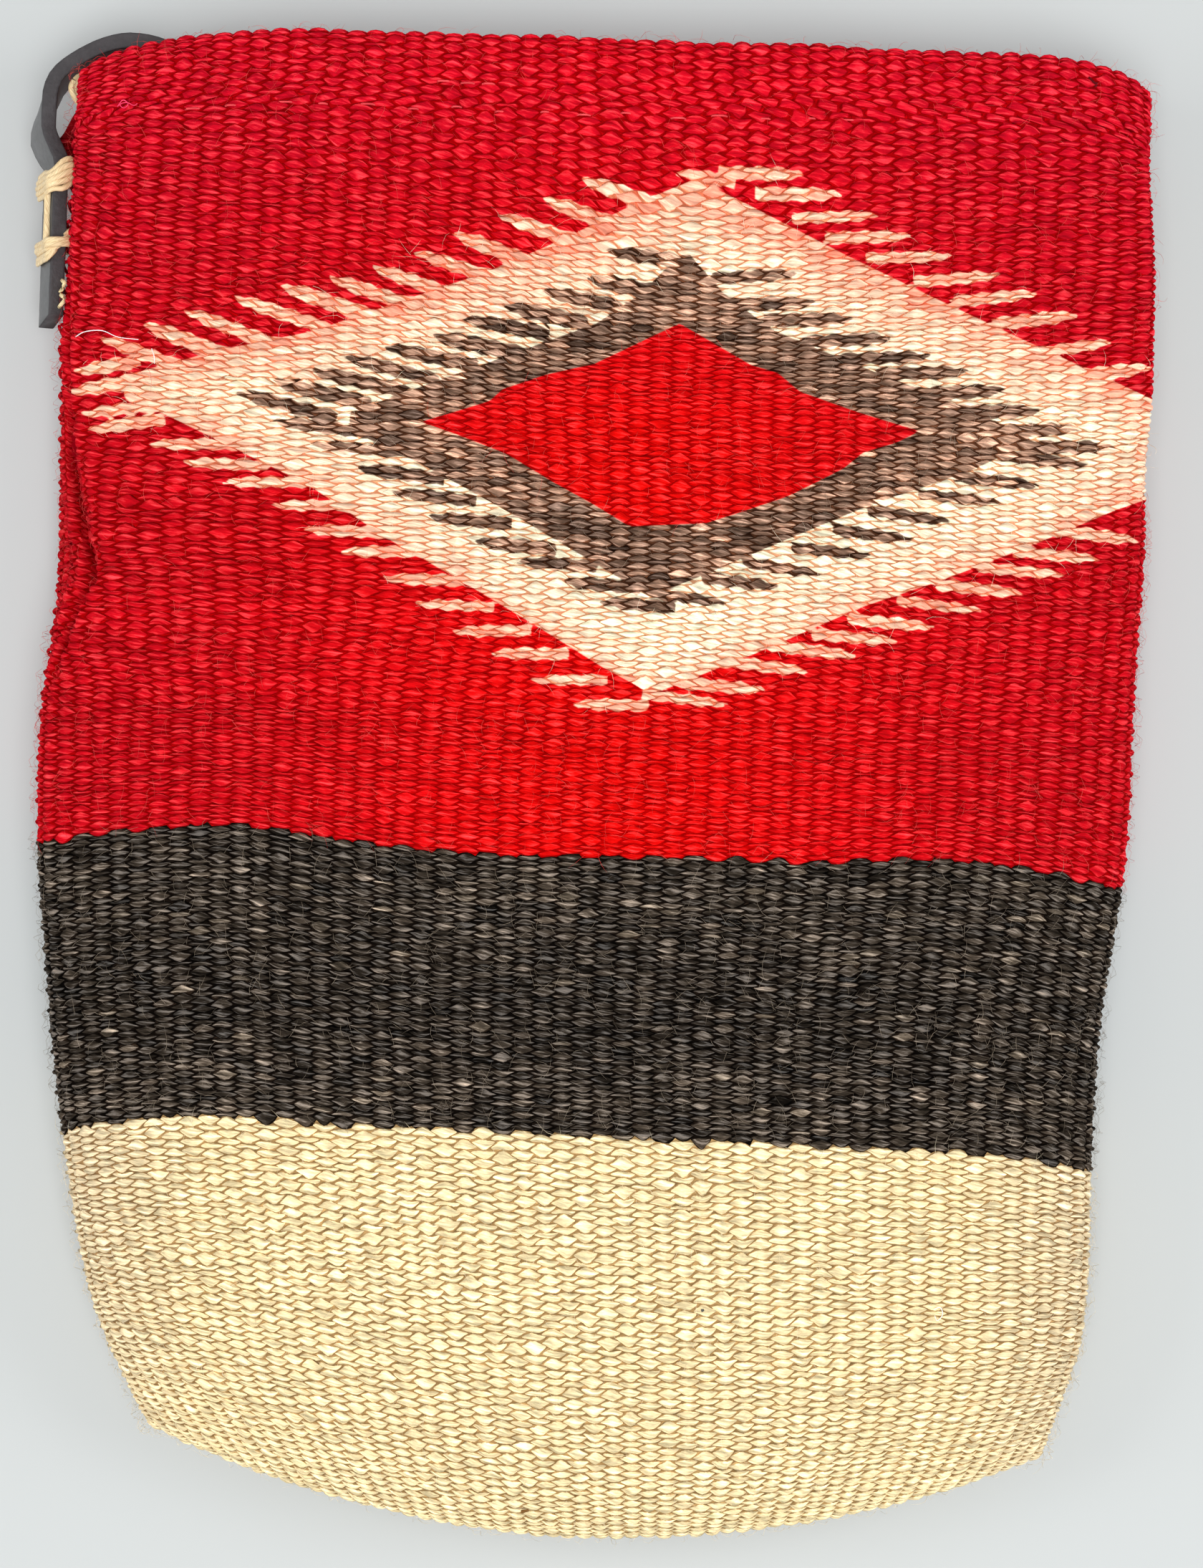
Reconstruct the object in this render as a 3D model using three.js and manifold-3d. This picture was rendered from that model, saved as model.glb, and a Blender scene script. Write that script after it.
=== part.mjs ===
// Woven wool handbag with a leather handle, lying on its back.
// Millimetres. X runs across the bag, Y towards the mouth, Z up from the surface it rests on.
import * as THREE from 'three';
import { mergeVertices } from 'three/addons/utils/BufferGeometryUtils.js';
import Module from 'manifold-3d';

const wasm = await Module();
wasm.setup();

// Bag outline and thickness, from the rim down to the bottom fold
const rimY = 144.5;
const bagLength = 291.6;
const mouthWidth = 210;
const shoulderWidth = 214.8;
const chestWidth = 212.9;
const waistWidth = 212.6;
const flankWidth = 205.4;
const hipWidth = 201.2;
const heelWidth = 193;
const footWidth = 176;
const mouthThickness = 30;
const shoulderThickness = 31;
const chestThickness = 33;
const waistThickness = 34;
const flankThickness = 34;
const hipThickness = 34;
const heelThickness = 31;
const footThickness = 27;
const mouthShift = -1; // sideways, as the bag lies a little crooked
const shoulderShift = -1.4;
const chestShift = -2.5;
const waistShift = -2.8;
const flankShift = -3.2;
const hipShift = -1.8;
const heelShift = 1.6;
const footShift = 4;
const bottomRise = 19; // how far the bottom corners stand above the lowest point of the fold
const leftRimDrop = 9; // how far the rim falls towards its corners
const rightRimDrop = 6;
const foldReach = 34; // length over which the two faces close to the bottom fold

// Cloth
const clothThickness = 3.2;
const hemThickness = 5; // cloth turned in and sewn down along the rim
const hemDepth = 16;
const hemRoll = 3.5; // below the hem the wall thins to a single cloth
const foldWall = 5.1; // wall at the bottom fold
const ribPitch = 4.3; // warp ribs across the cloth
const ribDepth = 0.7;
const pressed = 1.3 * ribDepth; // the ribs lie flat where the bag rests
const seamStart = 14; // the side seams begin this far below the rim
const slitWidth = 14; // gap between the two faces above a side seam
const creaseDepth = 9; // valley pressed into the left side of the front, below the strap
const creaseDown = 103;
const creaseRise = 29; // it fades over this length above its deepest place
const creaseFall = 15; // and over this length below it
const creaseLevel = 7; // above the middle of the thickness
const creaseHeight = 7.5;
const tuckDepth = 8.5; // the right side is drawn in behind the strap
const tuckReach = 76;
const tuckHeight = 7;

// Handle strap
const strapThickness = 3;
const strapWidth = 9;
const strapEdge = 0.5; // rounding of its cut edges
const tailLength = 57.2; // the strap ends this far below the rim
const archDrop = 1.2; // top of each arch below the rim
const archFall = 2.4; // from the top of the arch down to where the strap turns into the mouth
const archRun = 12.5; // from the straight stretch in to the top of the arch
const neckDown = 16.5; // where the strap stands off most, below the rim
const neckBulge = 2.1; // and out from its straight stretch
const bendIn = 0.4; // where the strap begins to bend over, in from its straight stretch
const bendDrop = 6.9; // and below the top of the arch
const handleSag = 46; // how far the middle of the handle hangs below the rim
const strapSeat = 0.4; // clearance between strap and cloth

// Lashings of flat waxed thread
const lashWidth = 4.6;
const lashThickness = 1.2;
const lashReach = 3.6; // how far the thread stands in from the cloth inside
const lashCorner = 1.8;
const upperLash = 28.2; // below the rim
const lowerLash = 41.5;
const bridgeWidth = 1.8; // thread that runs down the strap between the two wraps
const threadPlay = 0.35; // clearance around the thread
const knotWidth = 2.4; // knot that ends each side seam
const knotLength = 4.4;
const knotHeight = 3.4;

const facets = 1; // steps in each small rounded corner
const slitFacets = 6; // steps in each quarter of the slit's round end
const strapSteps = 56;
const knotSides = 12;
const knotRows = 8;
const innerPerFace = 24; // points across each face of the smooth inside
const fineSteps = 600; // steps that measure along one half of a section
const half = (size) => size / 2;

// Sections of the bag at shares of its length: power is the squareness of the front's edge
const stations = [
  { at: 0, width: mouthWidth, shift: mouthShift, thickness: mouthThickness, power: 5 },
  { at: 0.21, width: shoulderWidth, shift: shoulderShift, thickness: shoulderThickness, power: 4.2 },
  { at: 0.42, width: chestWidth, shift: chestShift, thickness: chestThickness, power: 3.9 },
  { at: 0.53, width: waistWidth, shift: waistShift, thickness: waistThickness, power: 3.6 },
  { at: 0.66, width: flankWidth, shift: flankShift, thickness: flankThickness, power: 3.5 },
  { at: 0.76, width: hipWidth, shift: hipShift, thickness: hipThickness, power: 3.4 },
  { at: 0.9, width: heelWidth, shift: heelShift, thickness: heelThickness, power: 3.2 },
  { at: 1, width: footWidth, shift: footShift, thickness: footThickness, power: 3 },
];
const backPower = 4; // the back lies flatter than the front
const stationCurve = new THREE.CubicInterpolant(
  stations.map((s) => s.at),
  stations.flatMap((s) => [s.width, s.shift, s.thickness, s.power]),
  4,
);

function sectionAt(share) {
  const [width, shift, thickness, power] = stationCurve.evaluate(share);
  return { width, shift, thickness, power };
}

// How far a side is pressed in: a short valley on the left, a long tuck behind the strap on the right
function sideDent(share, across, up) {
  const down = share * bagLength;
  const height = up * half(waistThickness);
  if (across < 0) {
    const along = (down - creaseDown) / (down < creaseDown ? creaseRise : creaseFall);
    return creaseDepth * Math.exp(-(along ** 2) - ((height - creaseLevel) / creaseHeight) ** 2);
  }
  return -tuckDepth * Math.exp(-((down / tuckReach) ** 6) - (height / tuckHeight) ** 4);
}

// Point on the tops of the cloth's ribs, at an angle around the section that starts at the right
// seam and passes over the front; inset moves it into the bag.
function clothPoint(share, angle, inset) {
  const section = sectionAt(share);
  const power = angle >= 0 ? section.power : backPower;
  const cosine = Math.cos(angle);
  const sine = Math.sin(angle);
  const across = Math.sign(cosine) * Math.abs(cosine) ** (2 / power);
  const up = Math.sign(sine) * Math.abs(sine) ** (2 / power);
  const foldShare = foldReach / bagLength;
  const closing = Math.max(0, (share - 1 + foldShare) / foldShare);
  const puff = half(section.thickness + pressed);
  const x = section.shift + across * (half(section.width) - inset) + sideDent(share, across, up);
  const rimDrop = across < 0 ? leftRimDrop * across ** 6 : rightRimDrop * across ** 12;
  const y = rimY - share * bagLength + bottomRise * across ** 2 * share ** 3 - rimDrop * (1 - share) ** 8;
  const z = puff - pressed + up * (puff * Math.sqrt(1 - closing ** 2) - inset);
  return new THREE.Vector3(x, y, z);
}

// Points at equal steps along one half of a section, from one seam to the other
function halfSection(share, from, to, count, inset) {
  const line = [];
  const step = (to - from) / fineSteps;
  for (let i = 0; i <= fineSteps; i++) line.push(clothPoint(share, from + step * i, inset));
  const run = [0];
  for (let i = 1; i <= fineSteps; i++) run.push(run[i - 1] + line[i].distanceTo(line[i - 1]));
  const points = [];
  let k = 0;
  for (let i = 0; i < count; i++) {
    const goal = (run[fineSteps] * i) / count;
    while (run[k + 1] < goal) k++;
    points.push(line[k].clone().lerp(line[k + 1], (goal - run[k]) / (run[k + 1] - run[k])));
  }
  return points;
}

function ring(share, perFace, inset) {
  const front = halfSection(share, Math.PI, 0, perFace, inset);
  const back = halfSection(share, 0, -Math.PI, perFace, inset);
  return [...front, ...back];
}

// Every second point sinks into the cloth, which leaves one ridge for each warp rib
function ribbed(points) {
  return points.map((point, i) => {
    if (i % 2) return point;
    const before = points[(i + points.length - 1) % points.length];
    const after = points[(i + 1) % points.length];
    const inward = new THREE.Vector3(after.z - before.z, 0, before.x - after.x).normalize();
    return point.clone().addScaledVector(inward, ribDepth);
  });
}

// Closed body through rings of points, with a strip from face to face closing each end
function loft(rings) {
  const count = rings[0].length;
  const triangles = [];
  const quad = (a, b, c, d) => triangles.push(a, c, b, a, d, c);
  for (let j = 0; j + 1 < rings.length; j++) {
    for (let i = 0; i < count; i++) {
      const next = (i + 1) % count;
      quad(j * count + i, j * count + next, (j + 1) * count + next, (j + 1) * count + i);
    }
  }
  const last = (rings.length - 1) * count;
  for (let i = 0; i < half(count); i++) {
    const opposite = (count - i) % count;
    const nextOpposite = count - i - 1;
    quad(i, opposite, nextOpposite, i + 1);
    quad(last + i, last + i + 1, last + nextOpposite, last + opposite);
  }
  const geometry = new THREE.BufferGeometry();
  const places = rings.flat().flatMap((p) => [p.x, p.y, p.z]);
  geometry.setAttribute('position', new THREE.Float32BufferAttribute(places, 3));
  geometry.setIndex(triangles);
  return geometry;
}

function toSolid(geometry) {
  const bare = geometry.clone();
  bare.deleteAttribute('normal');
  bare.deleteAttribute('uv');
  const merged = mergeVertices(bare, 1e-4);
  const corners = merged.index.array;
  const kept = [];
  for (let i = 0; i < corners.length; i += 3) {
    const [a, b, c] = corners.slice(i, i + 3);
    if (a !== b && b !== c && c !== a) kept.push(a, b, c);
  }
  return new wasm.Manifold(new wasm.Mesh({
    numProp: 3,
    vertProperties: new Float32Array(merged.attributes.position.array),
    triVerts: new Uint32Array(kept),
  }));
}

function toGeometry(solid) {
  const mesh = solid.getMesh();
  const geometry = new THREE.BufferGeometry();
  geometry.setAttribute('position', new THREE.BufferAttribute(mesh.vertProperties, 3));
  geometry.setIndex(new THREE.BufferAttribute(mesh.triVerts, 1));
  return geometry;
}

// Rectangle with rounded corners
function roundedRectangle(path, left, bottom, right, top, radius) {
  path.moveTo(left + radius, bottom);
  path.lineTo(right - radius, bottom);
  path.absarc(right - radius, bottom + radius, radius, -Math.PI / 2, 0);
  path.lineTo(right, top - radius);
  path.absarc(right - radius, top - radius, radius, 0, Math.PI / 2);
  path.lineTo(left + radius, top);
  path.absarc(left + radius, top - radius, radius, Math.PI / 2, Math.PI);
  path.lineTo(left, bottom + radius);
  path.absarc(left + radius, bottom + radius, radius, Math.PI, 1.5 * Math.PI);
  return path;
}

// Where the strap lies against each side, and the height of its middle there
const seamHeight = half(mouthThickness);
function sideFace(side) {
  const sweep = 0.5; // angle to each side of the seam
  const sweepSteps = 100;
  const downStep = 2;
  let reach = 0;
  for (let down = seamStart; down <= tailLength; down += downStep) {
    for (let i = 0; i <= sweepSteps; i++) {
      const angle = sweep * ((2 * i + 1) / (sweepSteps + 1) - 1);
      const point = clothPoint(down / bagLength, side > 0 ? angle : Math.PI * Math.sign(angle) - angle, 0);
      const beside = Math.abs(point.z - seamHeight) < half(strapWidth) + threadPlay;
      if (beside) reach = Math.max(reach, side * point.x);
    }
  }
  return side * reach;
}
function strapLine(side) {
  return sideFace(side) + side * (strapSeat + half(strapThickness));
}

// One wrap around the strap and through the cloth beside it; grow widens it for its slots
function wrap(side, down, grow) {
  const outer = strapLine(side) + side * (half(strapThickness) + threadPlay + lashThickness);
  const inner = sideFace(side) - side * (clothThickness + lashReach);
  const reach = half(strapWidth) + threadPlay;
  const [left, right] = [Math.min(inner, outer), Math.max(inner, outer)];
  const [low, high] = [seamHeight - reach - lashThickness, seamHeight + reach + lashThickness];
  const band = roundedRectangle(new THREE.Shape(), left - grow, low - grow, right + grow,
    high + grow, lashCorner + grow);
  const wall = lashThickness + grow;
  band.holes.push(roundedRectangle(new THREE.Path(), left + wall, low + wall, right - wall,
    high - wall, half(lashCorner)));
  const depth = lashWidth + 2 * grow;
  const geometry = new THREE.ExtrudeGeometry(band, { depth, bevelEnabled: false, curveSegments: facets });
  geometry.rotateX(Math.PI / 2);
  geometry.translate(0, rimY - down + half(depth), 0);
  return toSolid(geometry);
}

// Woven body: folded at the bottom, sewn up the sides, hemmed around the mouth
const shoulder = sectionAt(stations[1].at);
const ribCount = Math.round((shoulder.width + half(shoulder.thickness)) / ribPitch);
const outerShares = [0, 0.06, 0.14, 0.22, 0.3, 0.36, 0.42, 0.53, 0.66, 0.76, 0.86, 0.91, 0.95, 0.98, 0.997];
const outside = toSolid(loft(outerShares.map((share) => ribbed(ring(share, 2 * ribCount, 0)))));

const hemShare = hemDepth / bagLength;
const hemEnd = (hemDepth + hemRoll) / bagLength;
const innerEnd = 1 - foldWall / bagLength;
const innerShares = [hemEnd, 0.16, 0.25, 0.36, 0.42, 0.53, 0.66, 0.76, 0.87, 0.93, 0.96, innerEnd];
const mouthRing = ring(0, innerPerFace, hemThickness);
const raised = mouthRing.map((p) => new THREE.Vector3(p.x, rimY + hemThickness, p.z));
const hemRings = [raised, mouthRing, ring(hemShare, innerPerFace, hemThickness)];
const pocketRings = innerShares.map((share) => ring(share, innerPerFace, clothThickness));
const inside = toSolid(loft([...hemRings, ...pocketRings]));

const box = new THREE.BoxGeometry(2 * shoulderWidth, 2 * bagLength, 2 * waistThickness);
box.translate(0, 0, waistThickness);
const slit = new THREE.Shape();
slit.moveTo(rimY + seamStart, half(slitWidth));
slit.lineTo(rimY - seamStart + half(slitWidth), half(slitWidth));
slit.absarc(rimY - seamStart + half(slitWidth), 0, half(slitWidth), Math.PI / 2, 1.5 * Math.PI);
slit.lineTo(rimY + seamStart, -half(slitWidth));
const slitCut = new THREE.ExtrudeGeometry(slit,
  { depth: 2 * shoulderWidth, bevelEnabled: false, curveSegments: slitFacets });
slitCut.applyMatrix4(new THREE.Matrix4().makeBasis(
  new THREE.Vector3(0, 1, 0), new THREE.Vector3(0, 0, 1), new THREE.Vector3(1, 0, 0)));
slitCut.translate(-shoulderWidth, 0, seamHeight);

let bodySolid = outside.subtract(inside).intersect(toSolid(box)).subtract(toSolid(slitCut));
for (const side of [-1, 1]) {
  for (const down of [upperLash, lowerLash]) bodySolid = bodySolid.subtract(wrap(side, down, threadPlay));
}

// Handle: from one tail up the side, over the mouth's corner, down between the faces and back
const archTop = rimY - archDrop - half(strapThickness);
const restHeight = hemThickness + strapSeat + half(strapWidth); // it lies on the back face inside
function strapEnd(side) {
  const line = strapLine(side);
  const inward = -side * archRun;
  return [
    [line, rimY - tailLength, seamHeight],
    [line, rimY - lowerLash, seamHeight],
    [line, rimY - upperLash, seamHeight],
    [line, rimY - upperLash + lashWidth, seamHeight],
    [line + side * neckBulge, rimY - neckDown, seamHeight],
    [line - side * bendIn, archTop - bendDrop, seamHeight],
    [line + inward, archTop, seamHeight],
    [line + 2 * inward, archTop - archFall, seamHeight],
    [line + 4 * inward, rimY - half(handleSag), restHeight],
  ];
}
const route = [...strapEnd(-1), [0, rimY - handleSag, restHeight], ...strapEnd(1).reverse()];
const strapPath = new THREE.CatmullRomCurve3(route.map(([x, y, z]) => new THREE.Vector3(x, y, z)));
const strapSection = roundedRectangle(new THREE.Shape(), -half(strapWidth), -half(strapThickness),
  half(strapWidth), half(strapThickness), strapEdge);
const strapGeometry = new THREE.ExtrudeGeometry(strapSection,
  { steps: strapSteps, extrudePath: strapPath, bevelEnabled: false, curveSegments: facets });

// Lashing: two wraps joined by the thread that crosses the strap's outer face
function lashing(side) {
  const face = strapLine(side) + side * (half(strapThickness) + threadPlay + half(lashThickness));
  const bridge = new THREE.BoxGeometry(lashThickness, lowerLash - upperLash, bridgeWidth);
  bridge.translate(face, rimY - half(upperLash + lowerLash), seamHeight);
  const wraps = wrap(side, upperLash, 0).add(wrap(side, lowerLash, 0));
  return wraps.add(toSolid(bridge));
}

// Knot of the seam's thread, on the upper end of the seam between the two faces
function seamKnot(side) {
  const knot = new THREE.SphereGeometry(half(1), knotSides, knotRows);
  knot.scale(knotWidth, knotLength, knotHeight);
  const wall = clothPoint(seamStart / bagLength, side > 0 ? 0 : Math.PI, half(hemThickness));
  const seat = rimY - seamStart + threadPlay;
  return knot.translate(wall.x - side * strapSeat, seat + half(knotLength), seamHeight);
}

const wool = new THREE.MeshStandardMaterial({ color: 0xc41820, roughness: 0.95, metalness: 0 });
const leather = new THREE.MeshStandardMaterial({ color: 0x1e1d1c, roughness: 0.6, metalness: 0 });
const waxedThread = new THREE.MeshStandardMaterial({ color: 0xe6cf9f, roughness: 0.45, metalness: 0 });

const bag = new THREE.Group();
function place(name, geometry, material) {
  const mesh = new THREE.Mesh(geometry, material.clone());
  mesh.name = name;
  bag.add(mesh);
}
place('woven_body', toGeometry(bodySolid), wool);
place('handle_strap', toGeometry(toSolid(strapGeometry)), leather);
place('left_lashing', toGeometry(lashing(-1)), waxedThread);
place('right_lashing', toGeometry(lashing(1)), waxedThread);
place('left_seam_knot', toGeometry(toSolid(seamKnot(-1))), waxedThread);
place('right_seam_knot', toGeometry(toSolid(seamKnot(1))), waxedThread);

export default bag;
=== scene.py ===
# Hand-woven wool handbag with a leather handle, lying on its back on a table
import math

import bpy
import numpy as np
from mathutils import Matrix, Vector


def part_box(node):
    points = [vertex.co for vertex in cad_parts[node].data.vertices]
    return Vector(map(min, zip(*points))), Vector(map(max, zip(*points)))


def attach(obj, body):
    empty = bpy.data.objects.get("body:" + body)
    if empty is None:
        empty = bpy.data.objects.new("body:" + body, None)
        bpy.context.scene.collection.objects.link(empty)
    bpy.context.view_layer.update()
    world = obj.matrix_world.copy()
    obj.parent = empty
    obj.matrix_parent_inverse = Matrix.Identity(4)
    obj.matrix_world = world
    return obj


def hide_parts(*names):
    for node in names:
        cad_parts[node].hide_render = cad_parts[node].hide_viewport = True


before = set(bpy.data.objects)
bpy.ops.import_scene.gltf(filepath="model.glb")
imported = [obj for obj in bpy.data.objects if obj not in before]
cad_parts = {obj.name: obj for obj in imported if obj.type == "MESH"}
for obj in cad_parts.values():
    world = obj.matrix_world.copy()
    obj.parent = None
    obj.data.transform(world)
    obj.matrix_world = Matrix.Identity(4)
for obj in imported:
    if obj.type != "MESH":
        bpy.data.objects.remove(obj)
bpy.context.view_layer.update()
mm = 0.001
print("stage: frame loaded, nodes", sorted(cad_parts))

photoView = {
    "height": 620.0,       # camera above the table, mm
    "centre": (0.7, 1.2),  # the camera stands over this place, mm
    "middle": (0.7, 0.1),  # the picture's middle, in the figure's mm
    "turn": 2.0,           # degrees, the bag lies a little clockwise
    "span": 306.5,         # mm across the long side of the picture
    "level": 17.0,         # height at which that span holds
    "sensor": 36.0,
}


def makeCamera(view):
    data = bpy.data.cameras.new("photo_camera")
    data.sensor_width = view["sensor"]
    data.lens = view["sensor"] * (view["height"] - view["level"]) / view["span"]
    camera = bpy.data.objects.new("photo_camera", data)
    bpy.context.scene.collection.objects.link(camera)
    camera.location = (view["centre"][0] * mm, view["centre"][1] * mm, view["height"] * mm)
    camera.rotation_euler = (0, 0, math.radians(view["turn"]))
    bpy.context.scene.camera = camera
    print("stage: camera, lens", round(data.lens, 2))


makeCamera(photoView)


def linear(red, green, blue):  # screen tones 0 to 255 as light
    tones = np.array([red, green, blue]) / 255
    return np.where(tones <= 0.04045, tones / 12.92, ((tones + 0.055) / 1.055) ** 2.4)


def smoothThrough(ats, values, at):  # a smooth line through points, with straight ends
    ats = np.asarray(ats, float)
    values = np.asarray(values, float)
    at = np.asarray(at, float)
    after = np.clip(np.searchsorted(ats, at, side="right"), 1, len(ats) - 1)
    before = after - 1
    first = before == 0
    last = after == len(ats) - 1
    prior = np.where(first, after, before - 1)
    following = np.where(last, before, np.minimum(after + 1, len(ats) - 1))
    halfStep = (ats[after] - ats[before]) * 0.5
    priorWeight = halfStep / (ats[before] - ats[prior])
    nextWeight = halfStep / (ats[following] - ats[after])
    p = (at - ats[before]) / (ats[after] - ats[before])
    p2, p3 = p * p, p * p * p
    fromPrior = -priorWeight * p3 + 2 * priorWeight * p2 - priorWeight * p
    fromBefore = (1 + priorWeight) * p3 + (-1.5 - 2 * priorWeight) * p2 + (-0.5 + priorWeight) * p + 1
    fromAfter = (-1 - nextWeight) * p3 + (1.5 + nextWeight) * p2 + 0.5 * p
    fromNext = nextWeight * p3 - nextWeight * p2
    return (fromPrior * values[prior] + fromBefore * values[before]
            + fromAfter * values[after] + fromNext * values[following])


def unit(vectors):
    return vectors / np.maximum(np.linalg.norm(vectors, axis=-1, keepdims=True), 1e-9)


def ramp(value, low, high):  # from 0 to 1 between two values
    return np.clip((value - low) / (high - low), 0, 1)


def hump(value, middle, reach, power=2):  # 1 in the middle, fading over the reach
    return np.exp(-((value - middle) / reach) ** power)


def blend(table, row, column):  # a value between a table's rows and columns
    row = np.clip(row, 0, table.shape[0] - 1)
    column = np.clip(column, 0, table.shape[1] - 1)
    r = np.minimum(row.astype(int), table.shape[0] - 2)
    c = np.minimum(column.astype(int), table.shape[1] - 2)
    deep = (1,) * (table.ndim - 2)
    fr, fc = (row - r).reshape(row.shape + deep), (column - c).reshape(row.shape + deep)
    return ((table[r, c] * (1 - fr) + table[r + 1, c] * fr) * (1 - fc)
            + (table[r, c + 1] * (1 - fr) + table[r + 1, c + 1] * fr) * fc)


def runAlong(line):  # mm along a line at each of its points
    return np.concatenate([[0], np.cumsum(np.linalg.norm(np.diff(line, axis=0), axis=1))])


def placeAlong(line, share):  # places at shares of a line's length
    run = runAlong(line)
    return np.stack([np.interp(share * run[-1], run, line[:, k]) for k in range(line.shape[1])], -1)


def smoothRoute(points, steps):  # the smooth line that the solid's strap follows, in even steps
    points = np.asarray(points, float)
    padded = np.concatenate([[2 * points[0] - points[1]], points, [2 * points[-1] - points[-2]]])
    at = np.linspace(0, len(points) - 1, 40 * len(points))
    k = np.minimum(at.astype(int), len(points) - 2)
    f = (at - k)[:, None]
    p0, p1, p2, p3 = (padded[k + n] for n in range(4))
    g0, g1, g2 = (np.linalg.norm(b - a, axis=1, keepdims=True) ** 0.5
                  for a, b in ((p0, p1), (p1, p2), (p2, p3)))
    leave = ((p1 - p0) / g0 - (p2 - p0) / (g0 + g1) + (p2 - p1) / g1) * g1
    arrive = ((p2 - p1) / g1 - (p3 - p1) / (g1 + g2) + (p3 - p2) / g2) * g1
    line = (p1 + leave * f + (3 * p2 - 3 * p1 - 2 * leave - arrive) * f ** 2
            + (2 * p1 - 2 * p2 + leave + arrive) * f ** 3)
    return placeAlong(line, np.linspace(0, 1, steps + 1))


def framesAlong(routes, above):  # side and up directions for each step of each route
    way = unit(np.gradient(routes, axis=1))
    steep = np.abs(way @ np.array(above))[..., None] > 0.8
    side = unit(np.cross(np.where(steep, (1.0, 0, 0), above), way))
    return side, np.cross(way, side)


def sweep(routes, side, up, outline):  # closed bars: outline turns from side to up, ends are capped
    ring = routes[:, :, None] + outline[..., :1] * side[:, :, None] + outline[..., 1:] * up[:, :, None]
    number = np.arange(ring.size // 3).reshape(ring.shape[:3])
    after = np.roll(number, -1, axis=2)
    quads = np.stack([number[:, :-1], after[:, :-1], after[:, 1:], number[:, 1:]], -1).reshape(-1, 4)
    return ring.reshape(-1, 3), [quads, number[:, 0, ::-1], number[:, -1]]


def gridQuads(number):
    return np.stack([number[:-1, :-1], number[1:, :-1], number[1:, 1:], number[:-1, 1:]], -1).reshape(-1, 4)


def roundOutline(sides, wide, high):
    turn = 2 * math.pi * (np.arange(sides) + 0.5) / sides
    return np.stack([wide * np.cos(turn), high * np.sin(turn)], -1)


def newMesh(name, points, faces):
    sizes = np.concatenate([np.full(len(f), f.shape[1], np.int32) for f in faces])
    starts = np.concatenate([[0], np.cumsum(sizes)[:-1]]).astype(np.int32)
    corners = np.concatenate([f.ravel() for f in faces]).astype(np.int32)
    mesh = bpy.data.meshes.new(name)
    mesh.vertices.add(len(points))
    mesh.vertices.foreach_set("co", (np.asarray(points) * mm).astype(np.float32).ravel())
    mesh.loops.add(len(corners))
    mesh.loops.foreach_set("vertex_index", corners)
    mesh.polygons.add(len(sizes))
    mesh.polygons.foreach_set("loop_start", starts)
    mesh.polygons.foreach_set("loop_total", sizes)
    mesh.polygons.foreach_set("use_smooth", np.full(len(sizes), True))
    mesh.update(calc_edges=True)
    piece = bpy.data.objects.new(name, mesh)
    bpy.context.scene.collection.objects.link(piece)
    return piece


def paint(piece, name, kind, domain, values):
    attribute = piece.data.attributes.new(name, kind, domain)
    field = "color" if kind == "FLOAT_COLOR" else "value"
    attribute.data.foreach_set(field, np.asarray(values, np.float32).ravel())


def layUv(piece, name, perCorner):
    layer = piece.data.uv_layers.new(name=name)
    layer.data.foreach_set("uv", np.asarray(perCorner, np.float32).ravel())


def cornerPoints(piece):  # the point that each face corner belongs to
    corners = np.zeros(len(piece.data.loops), np.int32)
    piece.data.loops.foreach_get("vertex_index", corners)
    return corners


def finishPiece(piece, material, slot, *nodes):
    piece.data.materials.append(material)
    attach(piece, "root")
    if nodes:
        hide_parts(*nodes)
    count = sum(len(face.vertices) - 2 for face in piece.data.polygons)
    print("stage:", piece.name, count, "triangles")
    return piece


# The bag's form, in mm, the same as the solid's
bagForm = {
    "rimY": 144.5,
    "length": 291.6,
    "at": (0, 0.21, 0.42, 0.53, 0.66, 0.76, 0.9, 1),
    "width": (210, 214.8, 212.9, 212.6, 205.4, 201.2, 193, 176),
    "shift": (-1, -1.4, -2.5, -2.8, -3.2, -1.8, 1.6, 4),
    "thickness": (30, 31, 33, 34, 34, 34, 31, 27),
    "power": (5, 4.2, 3.9, 3.6, 3.5, 3.4, 3.2, 3),
    "backPower": 4.0,
    "bottomRise": 19.0,
    "leftRimDrop": 9.0,
    "rightRimDrop": 6.0,
    "foldReach": 34.0,
    "pressed": 0.91,       # the back's ribs are pressed flat by this much
    "seamStart": 14.0,
    "slitWidth": 14.0,
    "seamLevel": 15.0,
    "crease": {"depth": 9.0, "down": 103.0, "rise": 29.0, "fall": 15.0, "level": 7.0, "height": 7.5},
    "tuck": {"depth": 8.5, "reach": 76.0, "height": 7.0},
    "clothThickness": 3.2,
    "hemRadius": 2.5,
    "hemDepth": 16.0,
    "hemCore": 2.3,        # thickness of one layer in the hem
    "hemFade": 4.0,
}


def sideDent(form, down, across, up):
    crease, tuck = form["crease"], form["tuck"]
    height = up * max(form["thickness"]) / 2
    fade = np.where(down < crease["down"], crease["rise"], crease["fall"])
    valley = hump(down, crease["down"], fade) * hump(height, crease["level"], crease["height"])
    drawnIn = hump(down, 0, tuck["reach"], 6) * hump(height, 0, tuck["height"], 4)
    return np.where(across < 0, crease["depth"] * valley, -tuck["depth"] * drawnIn)


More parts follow.
